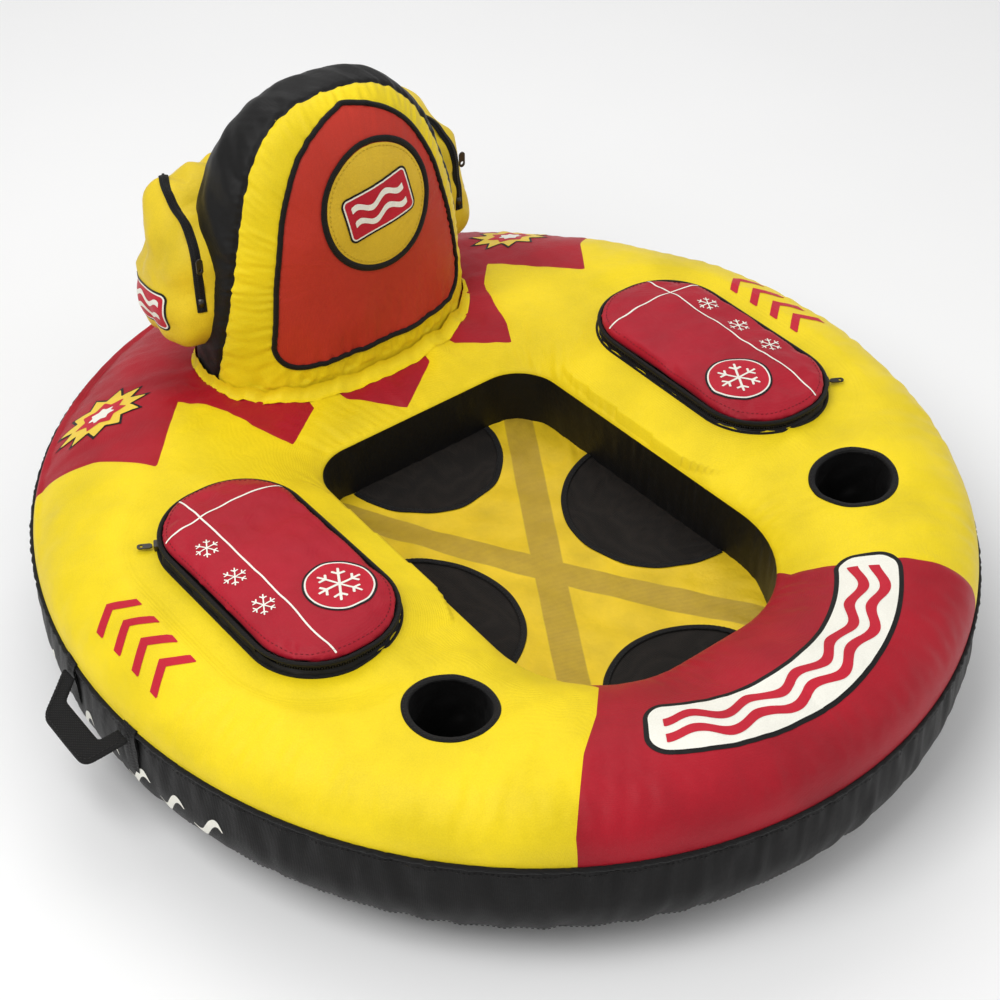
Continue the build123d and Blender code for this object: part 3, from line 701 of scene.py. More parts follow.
YELLOW_THREAD = webbing("yellow_thread", (214, 182, 40), 0.0008)
POCKET_CLOTH = nylon("pocket_yellow", (236, 204, 40), crinkle=0.0026, dull=0.74)
ZIP_PLASTIC = moulded("zip_coil", (24, 22, 22), 0.4)
VALVE_PLASTIC = moulded("valve_plastic", (28, 28, 30), 0.45, grain=0.0002)
ZIP_METAL = moulded("zip_metal", GUNMETAL, 0.32, metallic=0.9)
LINER_FOAM = foam("liner_foam", FOAM_SILVER)
BLADDER_PVC = moulded("bladder_pvc", PVC_GREY, 0.3, grain=0.0003)


# ================================= the tube ====================================================
TURNS = np.linspace(-math.pi, math.pi, 2049)


def seat_reach(turn):
    """Distance along each ray from the ring's centre to the seat outline."""
    heading = np.stack([np.cos(turn), np.sin(turn)], axis=1)
    reach = np.full(len(turn), np.inf)
    for a, b in zip(SEAT_OUTLINE, np.roll(SEAT_OUTLINE, -1, axis=0)):
        edge = b - a
        start = a - RING_CENTRE
        cross = heading[:, 0] * edge[1] - heading[:, 1] * edge[0]
        cross = np.where(np.abs(cross) < 1e-12, 1e-12, cross)
        along_ray = (start[0] * edge[1] - start[1] * edge[0]) / cross
        along_edge = (start[0] * heading[:, 1] - start[1] * heading[:, 0]) / cross
        good = (along_ray > 0) & (along_edge >= -1e-9) & (along_edge <= 1 + 1e-9)
        reach = np.where(good, np.minimum(reach, along_ray), reach)
    return reach


INNER_TABLE = seat_reach(TURNS)


def ring_span(turn):
    """Inner and outer reach of the ring along rays from its centre."""
    inner = np.interp(turn, TURNS, INNER_TABLE)
    c, s = np.cos(turn), np.sin(turn)
    a = (c / RING_X) ** 2 + (s / RING_Y) ** 2
    b = s * RING_CENTRE[1] / RING_Y ** 2
    rest = (RING_CENTRE[1] / RING_Y) ** 2 - 1
    outer = (-b + np.sqrt(b * b - a * rest)) / a
    return inner, outer


def backrest_field(p):
    """Signed reach to the backrest's plan outline."""
    u = np.abs(p[:, 0]) / BACK_HALF
    v = np.abs(p[:, 1] - BACK_CENTRE_Y) / BACK_DEPTH
    reach = (u ** BACK_PLAN_CURVE + v ** BACK_PLAN_CURVE) ** (1 / BACK_PLAN_CURVE)
    return (reach - 1) * (BACK_HALF + BACK_DEPTH) / 2


def skin_height(p):
    """Height of the inflated top cover over plan points."""
    ray = p - RING_CENTRE
    turn = np.arctan2(ray[:, 1], ray[:, 0])
    inner, outer = ring_span(turn)
    width = outer - inner
    d = np.clip(np.hypot(ray[:, 0], ray[:, 1]) - inner, 0, width)
    near_in = np.clip(d / (CROWN_SHARE * width), 0, 1)
    near_out = np.clip((width - d) / ((1 - CROWN_SHARE) * width), 0, 1)
    rise_in = (1 - (1 - near_in) ** INNER_CURVE) ** (1 / INNER_CURVE)
    curve = OUTER_CURVE - REAR_SOFTER * smooth_step(0.0, 0.40, p[:, 1])
    rise_out = (1 - (1 - near_out) ** curve) ** (1 / curve)
    z = np.where(
        d < CROWN_SHARE * width,
        INNER_SEAM + (CROWN - INNER_SEAM) * rise_in,
        OUTER_SEAM + (CROWN - OUTER_SEAM) * rise_out,
    )
    calm = smooth_step(0, 0.012, np.minimum(d, width - d))
    around = turn * (inner + 0.02)
    z += calm * 0.0011 * puckers(around, d, 0.030, 0.050, 11)
    z += calm * 0.0016 * puckers(turn * outer, width - d, 0.034, 0.035, 12)
    z += calm * (0.0014 * crumple(p[:, 0], p[:, 1], 0.120, 13)
                 + 0.0004 * crumple(p[:, 0], p[:, 1], 0.036, 14))
    z -= calm * REAR_DROP * smooth_step(0.10, 0.50, p[:, 1])
    back = backrest_field(p)
    angle = np.arctan2((p[:, 1] - BACK_CENTRE_Y) / BACK_DEPTH, p[:, 0] / BACK_HALF)
    z += calm * 0.0024 * puckers(angle * 0.150, back, 0.024, 0.055, 15) * (back > -0.05)
    for side in (LEFT, RIGHT):
        locker = locker_field(p, side)
        lean = np.arctan2(p[:, 1] - LID_CENTRE[1], p[:, 0] - side * LID_CENTRE[0])
        z += calm * 0.0010 * puckers(lean * 0.16, np.abs(locker), 0.026, 0.030, 16 + side)
        inward = smooth_step(0.02, -0.04, side * p[:, 0] - LID_CENTRE[0])
        roof = LOCKER_SKIN + 0.0115 * np.maximum(smooth_step(0.028, 0.085, locker), 0.55 * inward)
        z = np.where(locker < 0.085, np.minimum(z, roof), z)
        slope = LOCKER_SKIN + 0.0055 * inward - 0.42 * np.clip(locker, 0, None)
        z = np.where(locker < 0.060, np.maximum(z, slope), z)
        cup = cup_field(p, side)
        z -= 0.004 * np.exp(-np.clip(cup, 0, None) / 0.020)
    return z


def ring_patch(columns, rows, low=0.0, high=1.0):
    """Plan points across the ring, closer together near its edges, with their faces."""
    turn = np.linspace(-math.pi, math.pi, columns, endpoint=False)
    inner, outer = ring_span(turn)
    share = low + (high - low) * (1 - np.cos(np.linspace(0, math.pi, rows))) / 2
    reach = inner + share[:, None] * (outer - inner)
    flat = np.stack([
        (RING_CENTRE[0] + reach * np.cos(turn)).ravel(), (RING_CENTRE[1] + reach * np.sin(turn)).ravel()
    ], axis=1)
    return flat, grid_faces(rows, columns, wrap=True)


def mirrored(corners):
    return [(-x, y) for x, y in corners]


FRONT_PANEL = [(-.146, -.300), (-.146, -.356), (-.190, -.402), (-.240, -.440), (-.298, -.498),
               (-.360, -.640), (.360, -.640), (.298, -.498), (.240, -.440), (.190, -.402),
               (.146, -.356), (.146, -.300)]
REAR_PANEL = [(.110, .280), (.112, .237), (.174, .194), (.190, .225), (.200, .262), (.215, .305),
              (.248, .340), (.339, .240), (.386, .305), (.440, .345), (.620, .350), (.620, .640),
              (.110, .640)]
SPIKE_PANEL = [(-.080, .280), (-.070, .231), (-.008, .180), (.062, .225), (.070, .280)]
PANELS = {
    "front_panel": FRONT_PANEL,
    "rear_panel_right": REAR_PANEL,
    "rear_panel_left": mirrored(REAR_PANEL),
    "rear_panel_center": SPIKE_PANEL,
}
SEAM_DIP = 0.0009
SEAM_SOFT = 0.0035


def make_top():
    """The inflated top cover, cut into its sewn panels, with the locker and cup mouths open."""
    flat, faces = ring_patch(1080, 58)
    points = np.column_stack([flat, skin_height(flat)])
    for side in (LEFT, RIGHT):
        points, _, faces = cut(points, faces, lambda p, s=side: locker_field(p[:, :2], s, -0.004))
        points, _, faces = cut(points, faces, lambda p, s=side: cup_field(p[:, :2], s))
    made = {}
    for name, outline in PANELS.items():
        points, made[name], faces = cut(points, faces, lambda p, o=outline: polygon(p[:, :2], o))
    seam = np.full(len(points), 1.0)
    for outline in PANELS.values():
        seam = np.minimum(seam, np.abs(polygon(points[:, :2], outline)))
    front = points[:, 1] < -0.35
    centre_seam = np.where(front & (points[:, 1] < -0.50), np.abs(points[:, 0]), 1.0)
    seam = np.minimum(seam, centre_seam)
    points[:, 2] -= SEAM_DIP * np.exp(-(seam / SEAM_SOFT) ** 2)
    cover = make_piece("top_cover_skin", points, faces, YELLOW_CLOTH, stands_for=["top_cover"],
                       slot="nylon_yellow")
    pieces = [cover]
    for name, panel_faces in made.items():
        pieces.append(make_piece(f"{name}_skin", points, panel_faces, RED_CLOTH, stands_for=[name],
                                 slot="nylon_red"))
    return pieces


def edge_point(turn, level, out=0.0):
    """Points on the ring's outer edge, pushed out along its normal."""
    x, y = RING_X * np.cos(turn), RING_Y * np.sin(turn)
    normal = np.stack([np.cos(turn) / RING_X, np.sin(turn) / RING_Y], axis=1)
    normal /= np.linalg.norm(normal, axis=1, keepdims=True)
    return np.column_stack([x + out * normal[:, 0], y + out * normal[:, 1],
                            np.broadcast_to(level, x.shape)])


def band_bulge(turn, level):
    """How far the side band stands out, with its upright gathers."""
    span = OUTER_SEAM - BOTTOM_SEAM
    share = np.clip((level - BOTTOM_SEAM) / span, 0, 1)
    along = turn * (RING_X + RING_Y) / 2
    out = 0.0045 * np.sin(math.pi * share)
    out += 0.0014 * puckers(along, OUTER_SEAM - level, 0.026, 0.045, 21)
    out += 0.0012 * puckers(along, level - BOTTOM_SEAM, 0.030, 0.040, 22)
    out += 0.0008 * crumple(along, level * 0.35, 0.030, 23)
    gap = np.hypot((turn - VALVE_TURN) * 0.58, level - VALVE_Z)
    out = np.where(gap < 0.09, out * smooth_step(0.030, 0.085, gap) - 0.0004, out)
    drop = np.clip(OUTER_BOTTOM_ROUND - level, 0, OUTER_BOTTOM_ROUND)
    return out - OUTER_BOTTOM_ROUND + np.sqrt(OUTER_BOTTOM_ROUND ** 2 - drop ** 2)


def make_band():
    turn = np.linspace(-math.pi, math.pi, 1200, endpoint=False)
    levels = BOTTOM_SEAM + (OUTER_SEAM - BOTTOM_SEAM) * np.linspace(1, 0, 30)
    rows = [edge_point(turn, level, band_bulge(turn, np.full(len(turn), level))) for level in levels]
    points, faces = np.vstack(rows), grid_faces(len(levels), len(turn), wrap=True)
    band = make_piece("side_band_cloth", points, faces, BAND_CLOTH, stands_for=["side_band"],
                      slot="nylon_black")
    path = edge_point(turn, OUTER_SEAM - 0.001, 0.0012 + 0.0006 * crumple(turn * 0.58, turn, 0.02, 24))
    piping = rod(path, 0.0032, sides=10)
    make_piece("seam_piping_cord", *piping, BINDING_CLOTH, stands_for=["seam_piping"], slot="nylon_black")
    for offset, level in ((0.0008, OUTER_SEAM - 0.011), (0.0008, BOTTOM_SEAM + 0.008)):
        run = edge_point(turn, level, band_bulge(turn, np.full(len(turn), level)) + offset)
        normal = run / np.linalg.norm(run * (1, 1, 0), axis=1, keepdims=True) * (1, 1, 0)
        name = "band_stitches_top" if level > 0.1 else "band_stitches_low"
        make_piece(name, *stitches(run, normal), WEBBING_THREAD, slot="nylon_black")
    return band


def make_bottom():
    """The underside: rounded at both edges and flat where it rests."""
    turn = np.linspace(-math.pi, math.pi, 720, endpoint=False)
    inner, _ = ring_span(turn)
    rows = []
    arc = np.linspace(0, math.pi / 2, 9)
    start = math.asin(1 - BOTTOM_SEAM / OUTER_BOTTOM_ROUND)
    for angle in np.linspace(start, math.pi / 2, 10):
        level = OUTER_BOTTOM_ROUND * (1 - math.sin(angle))
        rows.append(edge_point(turn, level, band_bulge(turn, np.full(len(turn), level))))
    outer_flat = rows[-1]
    inner_flat = on_ring(turn, inner + INNER_BOTTOM_ROUND, rows[-1][0, 2])
    for share in np.linspace(0, 1, 8)[1:]:
        rows.append(outer_flat * (1 - share) + inner_flat * share)
    for angle in arc[1:]:
        rows.append(on_ring(turn, inner + INNER_BOTTOM_ROUND * (1 - math.sin(angle)),
                            INNER_BOTTOM_ROUND * (1 - math.cos(angle))))
    points = np.vstack(rows)
    points[:, 2] = np.maximum(points[:, 2], 0)
    make_piece("bottom_skin", points, grid_faces(len(rows), len(turn), wrap=True), BAND_CLOTH,
               stands_for=["bottom_cover"], slot="nylon_black")


def make_inner_wall():
    turn = np.linspace(-math.pi, math.pi, 900, endpoint=False)
    inner, _ = ring_span(turn)
    rows = []
    for level in np.linspace(INNER_SEAM + 0.0004, INNER_BOTTOM_ROUND, 22):
        share = (INNER_SEAM - level) / (INNER_SEAM - INNER_BOTTOM_ROUND)
        bulge = -0.004 * math.sin(math.pi * min(1, share)) + 0.0010 * puckers(
            turn * 0.25, np.full(len(turn), INNER_SEAM - level), 0.022, 0.05, 26)
        bulge *= smooth_step(0, 0.006, INNER_SEAM - level)
        rows.append(on_ring(turn, inner + bulge, level))
    make_piece("inner_wall_cloth", np.vstack(rows), grid_faces(len(rows), len(turn), wrap=True), BACK_CLOTH,
               stands_for=["inner_wall"], slot="nylon_black")


def round_lift(inset, radius):
    """How far a rounded bottom edge rises, inset metres in from its side."""
    run = radius - np.clip(0.9 * inset, 0, radius)
    return radius - np.sqrt(radius ** 2 - run ** 2)


def make_bladder():
    """The air bladder, a few millimetres inside the cover."""
    gap = 0.006
    flat, faces = ring_patch(360, 24, 0.03, 0.97)
    top = np.column_stack([flat, skin_height(flat) - gap])
    ray = flat - RING_CENTRE
    far = np.hypot(ray[:, 0], ray[:, 1])
    inner, outer = ring_span(np.arctan2(ray[:, 1], ray[:, 0]))
    under = np.column_stack([flat, gap + np.maximum(
        round_lift(outer - far, OUTER_BOTTOM_ROUND), round_lift(far - inner, INNER_BOTTOM_ROUND))])
    points, faces = shell(top, under, faces)
    for side in (LEFT, RIGHT):
        points, _, faces = cut(points, faces, lambda p, s=side: locker_field(p[:, :2], s, 0.004))
        points, _, faces = cut(points, faces, lambda p, s=side: cup_field(p[:, :2], s, 0.004))
    make_piece("bladder_skin", points, faces, BLADDER_PVC, stands_for=["tube_bladder"],
               slot="bladder_pvc")


top_pieces = make_top()
top_tree = tree_of(*top_pieces)
side_band = make_band()
make_bottom()
make_inner_wall()
make_bladder()


# ================================= seat floor ==================================================
def floor_height(p):
    """The seat floor sags a little and pulls into creases towards its corners."""
    edge = np.clip(-seat_field(p), 0, 0.2)
    z = FLOOR_Z - 0.009 * smooth_step(0, 0.16, edge)
    z += 0.0012 * crumple(p[:, 0], p[:, 1], 0.060, 31) * smooth_step(0, 0.05, edge)
    ray = p - RING_CENTRE
    turn = np.arctan2(ray[:, 1], ray[:, 0])
    z += 0.0016 * puckers(turn * 0.22, edge, 0.020, 0.030, 32) * smooth_step(0, 0.008, edge)
    return z


def make_floor():
    low = SEAT_OUTLINE.min(axis=0) - 0.004
    high = SEAT_OUTLINE.max(axis=0) + 0.004
    flat, faces = plan_grid(low, high, 0.004)
    points = np.column_stack([flat, np.zeros(len(flat))])
    points, faces, _ = cut(points, faces, lambda p: seat_field(p[:, :2]) + 0.0006)
    discs = {}
    for name, (centre, radius) in DISC_PLACES.items():
        points, discs[name], faces = cut(
            points, faces, lambda p, c=centre, r=radius: circle(p[:, :2], c, r))
    points[:, 2] = floor_height(points[:, :2])
    for name, disc_faces in discs.items():
        disc = make_piece(f"drain_mesh_{name}", points - (0, 0, 0.0008), disc_faces, MESH_CLOTH,
                          stands_for=[f"mesh_disc_{name}"], slot="floor_mesh")
    cloth = make_piece("floor_cloth", points, faces, FLOOR_CLOTH, stands_for=["seat_floor"],
                       slot="floor_fabric")
    width, length = SEAT_OUTLINE[:, 0].ptp(), SEAT_OUTLINE[:, 1].ptp()
    return cloth


def make_bindings():
    """Black tape sewn round each mesh disc, with its two rows of stitches."""
    for name, (centre, radius) in DISC_PLACES.items():
        steps = np.linspace(0, 2 * math.pi, 360, endpoint=False)
        loop = np.asarray(centre) + radius * np.stack([np.cos(steps), np.sin(steps)], axis=1)
        inside = seat_field(loop) < -0.0035
        if inside.all():
            runs, closed = [loop], True
        else:
            start = int(np.argmax(~inside & np.roll(inside, -1)))
            order = np.roll(np.arange(len(loop)), -start - 1)
            kept = order[inside[order]]
            breaks = np.where(np.diff(np.where(inside[order])[0]) > 1)[0] + 1
            runs, closed = [loop[part] for part in np.split(kept, breaks)], False
        parts, threads = [], []
        for run in runs:
            path = np.column_stack([run, floor_height(run) + 0.0008])
            parts.append(rod(path, 0.0040, closed=closed, sides=10, flat=0.28))
            for offset in (-0.0026, 0.0026):
                row = np.asarray(centre) + (run - centre) * (1 + offset / radius)
                threads.append(stitches(np.column_stack([row, floor_height(row) + 0.0018]), (0, 0, 1),
                                        closed=closed))
        make_piece(f"disc_binding_{name}", *join_parts(parts), BINDING_CLOTH,
                   stands_for=[f"mesh_binding_{name}"], slot="nylon_black")
        make_piece(f"disc_stitches_{name}", *join_parts(threads), WEBBING_THREAD, slot="nylon_black")


def make_floor_straps():
    """Two webbing straps that cross under the floor cloth."""
    for name, lean, drop in (("floor_strap_upper", RIGHT, 0.0030), ("floor_strap_lower", LEFT, 0.0052)):
        along = np.array([STRAP_LEAN[0] * lean, STRAP_LEAN[1]])
        across = np.array([-along[1], along[0]])
        t = np.linspace(-0.45, 0.45, 180)
        middle = np.array([0, STRAP_CROSS_Y]) + t[:, None] * along
        rows = []
        for offset in np.linspace(-STRAP_HALF, STRAP_HALF, 7):
            flat = middle + offset * across
            rows.append(np.column_stack([flat, floor_height(flat) - drop]))
        points, faces = np.vstack(rows), grid_faces(len(rows), len(t))
        points, faces = shell(points, points - (0, 0, 0.0014), faces)
        points, faces, _ = cut(points, faces, lambda p: seat_field(p[:, :2]) + 0.001)
        make_piece(f"{name}_webbing", points, faces, KHAKI_WEBBING, stands_for=[name], slot="webbing_khaki")


make_floor()
make_bindings()
make_floor_straps()


# ================================= cup holders =================================================
def circle_points(centre, radius, count):
    turn = np.linspace(0, 2 * math.pi, count, endpoint=False)
    return np.asarray(centre) + radius * np.stack([np.cos(turn), np.sin(turn)], axis=1)


def make_cup(side, name):
    """A soft cup liner hanging from a bound rim that follows the tube."""
    centre = CUP_CENTRE * (side, 1)
    rim_flat = circle_points(centre, CUP_RADIUS + 0.0026, 180)
    rim_path = np.column_stack([rim_flat, skin_height(rim_flat) + 0.0006])
    rim = rod(rim_path, 0.0038, sides=12, flat=0.42)
    lip_flat = circle_points(centre, CUP_RADIUS - 0.0002, 180)
    lip = rod(np.column_stack([lip_flat, skin_height(lip_flat) - 0.0002]), 0.0018, sides=10)
    make_piece(f"cup_rim_binding_{name}", *join_parts([rim, lip]), BINDING_CLOTH,
               stands_for=[f"cup_rim_{name}"], slot="nylon_black")
    row = circle_points(centre, CUP_RADIUS + 0.0034, 240)
    thread = stitches(np.column_stack([row, skin_height(row) + 0.0023]), (0, 0, 1))
    make_piece(f"cup_stitches_{name}", *thread, WEBBING_THREAD, slot="nylon_black")
    mouth = skin_height(lip_flat)
    turn = np.linspace(0, 2 * math.pi, 180, endpoint=False)
    rows = []
    depth = mouth.mean() - CUP_LOW.z
    for share in np.linspace(0, 1, 30):
        radius = (CUP_RADIUS - 0.001) * (1 - 0.05 * share)
        dents = crumple(turn * 0.047, np.full(180, share * depth), 0.03, 41)
        radius = radius + 0.0011 * np.sin(math.pi * share) * dents
        level = mouth * (1 - share) + CUP_LOW.z * share
        flat = centre + radius[:, None] * np.stack([np.cos(turn), np.sin(turn)], axis=1)
        rows.append(np.column_stack([flat, level]))
    for radius in (0.038, 0.030, 0.020, 0.010, 0.002):
        flat = circle_points(centre, radius, 180)
        level = CUP_LOW.z - 0.0005 + 0.0008 * crumple(flat[:, 0], flat[:, 1], 0.02, 42)
        rows.append(np.column_stack([flat, level]))
    faces = grid_faces(len(rows), 180, wrap=True)
    last = (len(rows) - 1) * 180
    faces.append(tuple(range(last, last + 180)))
    make_piece(f"cup_cloth_{name}", np.vstack(rows), faces, BACK_CLOTH,
               stands_for=[f"cup_liner_{name}"], slot="nylon_black")


# ================================= lockers =====================================================
def locker_loop(side, grow, count=420):
    """The locker outline, grown outwards, as an even loop of plan points."""
    centre = LID_CENTRE * (side, 1)
    half = LID_HALF + grow
    corners = [centre + half * (sx, sy) for sx, sy in ((-1, 1), (1, 1), (1, -1), (-1, -1))]
    outline = round_corners(corners, [LID_ROUND + grow] * 4, 24)
    closed = np.vstack([outline, outline[:1]])
    gap = np.linalg.norm(np.diff(closed, axis=0), axis=1)
    reach = np.concatenate([[0], np.cumsum(gap)])
    at = np.linspace(0, reach[-1], count, endpoint=False)
    return np.stack([np.interp(at, reach, closed[:, k]) for k in range(2)], axis=1)


def wall_between(low, high, rows=6, bulge=0.0, outward=None):
    """A band of cloth between two loops."""
    made = []
    for share in np.linspace(0, 1, rows):
        ring = low * (1 - share) + high * share
        if outward is not None:
            ring = ring + bulge * math.sin(math.pi * share) * outward
        made.append(ring)
    return np.vstack(made), grid_faces(rows, len(low), wrap=True)


LID_EDGE = 0.0085
LID_SWELL = 0.0050


def lid_top(p, side):
    """Level of the padded lid's top over plan points."""
    depth = -locker_field(p, side)
    swell = LID_SWELL * smooth_step(0, 0.075, depth)
    dent = 0.0016 * crumple(p[:, 0] + side, p[:, 1], 0.085, 51 + side)
    crease = 0.0007 * crumple(p[:, 0] + side, p[:, 1], 0.030, 53 + side)
    across = (p[:, 0] - side * LID_CENTRE[0]) * side
    pull = 0.0011 * puckers(p[:, 1], depth, 0.036, 0.022, 55 + side)
    return swell + (dent + crease) * smooth_step(0, 0.03, depth) + pull - 0.012 * across


def make_lid_pad(side, name):
    """The padded lid: crowned foam under cloth, closed all round."""
    body = f"lid_{name}"
    low = LID_CENTRE * (side, 1) - LID_HALF - 0.002
    high = LID_CENTRE * (side, 1) + LID_HALF + 0.002
    middle = (LID_LOW.z + LID_HIGH.z) / 2
    board = Sheet((0, 0, middle), (1, 0, 0), (0, 1, 0))
    flat, faces = plan_grid(low, high, 0.0026)
    points, inside, _ = cut(flat, faces, lambda p: locker_field(p, side, -0.0006))
    depth = np.clip(-locker_field(points, side, -0.0006) / LID_EDGE, 0, 1)
    half = (LID_HIGH.z - LID_LOW.z) / 2 * np.sqrt(1 - (1 - depth) ** 2)
    top = board.place(points, half + lid_top(points, side) * depth)
    under = board.place(points, -np.minimum(half, 0.0055))
    pad = make_piece(f"lid_pad_{name}", *shell(top, under, inside), LID_CLOTH, body=None)
    swell_cloth(pad, voxel=0.0042, pressure=3.0, frames=14, cap=0.0035)
    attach(pad, body)
    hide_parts(f"locker_lid_{name}")
    return pad


def swell_cloth(piece, voxel, pressure, frames, cap, stiffness=15.0):
    """Inflate a closed piece by cloth simulation, then keep each point within cap of its start."""
    bpy.context.view_layer.objects.active = piece
    remesh = piece.modifiers.new("remesh", "REMESH")
    remesh.mode = "VOXEL"
    remesh.voxel_size = voxel
    remesh.use_smooth_shade = True
    apply_modifiers(piece)
    start = vertex_array(piece)
    cloth = piece.modifiers.new("cloth", "CLOTH")
    cloth.settings.quality = 6
    cloth.settings.tension_stiffness = stiffness
    cloth.settings.compression_stiffness = stiffness
    cloth.settings.bending_stiffness = 0.4
    cloth.settings.use_pressure = True
    cloth.settings.uniform_pressure_force = pressure
    cloth.settings.effector_weights.gravity = 0.0
    cloth.point_cache.frame_start = 1
    cloth.point_cache.frame_end = frames
    scene = bpy.context.scene
    for step in range(1, frames + 1):
        scene.frame_set(step)
    depsgraph = bpy.context.evaluated_depsgraph_get()
    swollen = np.array([v.co for v in piece.evaluated_get(depsgraph).data.vertices])
    piece.modifiers.remove(cloth)
    scene.frame_set(1)
    move = swollen - start
    length = np.linalg.norm(move, axis=1, keepdims=True)
    move *= np.minimum(1.0, cap / np.maximum(length, 1e-9))
    piece.data.vertices.foreach_set("co", (start + move).astype(np.float32).ravel())
    piece.data.update()
    smooth = piece.modifiers.new("subdivide", "SUBSURF")
    smooth.levels = smooth.render_levels = 1
    apply_modifiers(piece)
    piece.data.polygons.foreach_set("use_smooth", [True] * len(piece.data.polygons))


def apply_modifiers(piece):
    """Bake a piece's modifiers into its mesh."""
    depsgraph = bpy.context.evaluated_depsgraph_get()
    baked = bpy.data.meshes.new_from_object(piece.evaluated_get(depsgraph))
    piece.modifiers.clear()
    piece.data = baked


def vertex_array(piece):
    points = np.zeros(len(piece.data.vertices) * 3, np.float32)
    piece.data.vertices.foreach_get("co", points)
    return points.reshape(-1, 3).astype(float)


def zipper_teeth(path, side, pitch=0.0030, width=0.0034):
    """Interlocked coil teeth round a locker, except along the edge that its lid folds back on."""
    fine = even_path(path, pitch)
    hinged = side * fine[:, 0] > LID_CENTRE[0] + LID_HALF[0] - 0.006
    ahead = np.roll(fine, -1, axis=0) - fine
    ahead /= np.linalg.norm(ahead, axis=1, keepdims=True)
    out = np.cross(ahead, (0, 0, 1))
    parts = []
    for index, point in enumerate(fine):
        if hinged[index]:
            continue
        lean = 0.0006 if index % 2 else -0.0006
        half = 0.0009 * out[index]
        start, end = point + (0, 0, lean - width / 2), point + (0, 0, lean + width / 2)
        parts.append(rod(np.array([start + half, end + half]), 0.00085, closed=False, sides=5, up=out[index]))
    return join_parts(parts)


def make_locker(side, name):
    """Skirt, zipper, padded lid and printed marks of one cooler locker."""
    body = f"lid_{name}"
    foot_flat = locker_loop(side, 0.0026)
    foot = np.column_stack([foot_flat, np.minimum(skin_height(foot_flat) - 0.001, TAPE_TOP - 0.0075)])
    top_flat = locker_loop(side, -0.0014)
    top = np.column_stack([top_flat, np.full(len(top_flat), TAPE_TOP - 0.0022)])
    outward = np.column_stack([foot_flat - locker_loop(side, -0.010), np.zeros(len(foot_flat))])
    outward /= np.linalg.norm(outward, axis=1, keepdims=True)
    ripple = 0.0009 * crumple(foot[:, 0] * 2, foot[:, 1] * 2, 0.05, 57)[:, None] + 0.0016
    skirt = wall_between(foot, top, 9, 1.0, outward * ripple)
    inner_top = np.column_stack([locker_loop(side, -0.0085), np.full(len(top_flat), TAPE_TOP - 0.0024)])
    ledge = wall_between(top, inner_top, 3)
    inner_low = inner_top - (0, 0, 0.012)
    back = wall_between(inner_top, inner_low, 3)
    make_piece(f"locker_skirt_{name}", *join_parts([skirt, ledge, back]), BACK_CLOTH,
               stands_for=[f"locker_base_tape_{name}"], slot="nylon_black")
    piping = rod(np.column_stack([locker_loop(side, 0.0030), foot[:, 2] + 0.0012]), 0.0024, sides=8)
    make_piece(f"locker_foot_piping_{name}", *piping, BINDING_CLOTH, slot="nylon_black")
    coil = np.column_stack([locker_loop(side, -0.0006), np.full(len(top_flat), TAPE_TOP - 0.0006)])
    make_piece(f"locker_zip_teeth_{name}", *zipper_teeth(coil, side), ZIP_PLASTIC, slot="nylon_black")

    tape_low = np.column_stack([locker_loop(side, -0.0016), np.full(len(top_flat), TAPE_TOP + 0.0006)])
    tape_high = np.column_stack([locker_loop(side, -0.0004), np.full(len(top_flat), LID_LOW.z + 0.0030)])
    tape_in = np.column_stack([locker_loop(side, -0.0085), np.full(len(top_flat), TAPE_TOP + 0.0008)])
    lid_tape = join_parts([wall_between(tape_low, tape_high, 4, 0.0008, outward),
                           wall_between(tape_in, tape_low, 2)])
    make_piece(f"lid_tape_{name}", *lid_tape, BACK_CLOTH, body, [f"locker_lid_tape_{name}"], "nylon_black")
    cord_path = np.column_stack([locker_loop(side, 0.0006), np.full(len(top_flat), LID_LOW.z + 0.0042)])
    make_piece(f"lid_piping_{name}", *rod(cord_path, 0.0028, sides=10), BINDING_CLOTH, body,
               slot="nylon_black")
    pad = make_lid_pad(side, name)
    tree = tree_of(pad)
    stitch_flat = locker_loop(side, -0.0085)
    stitch_path = drape(GROUND, tree, stitch_flat, 0.0002)
    make_piece(f"lid_stitches_{name}", *stitches(stitch_path, (0, 0, 1)), LID_THREAD, body, slot="nylon_red")
    make_lid_marks(side, name, tree)
    make_hinge_cloth(side, name)


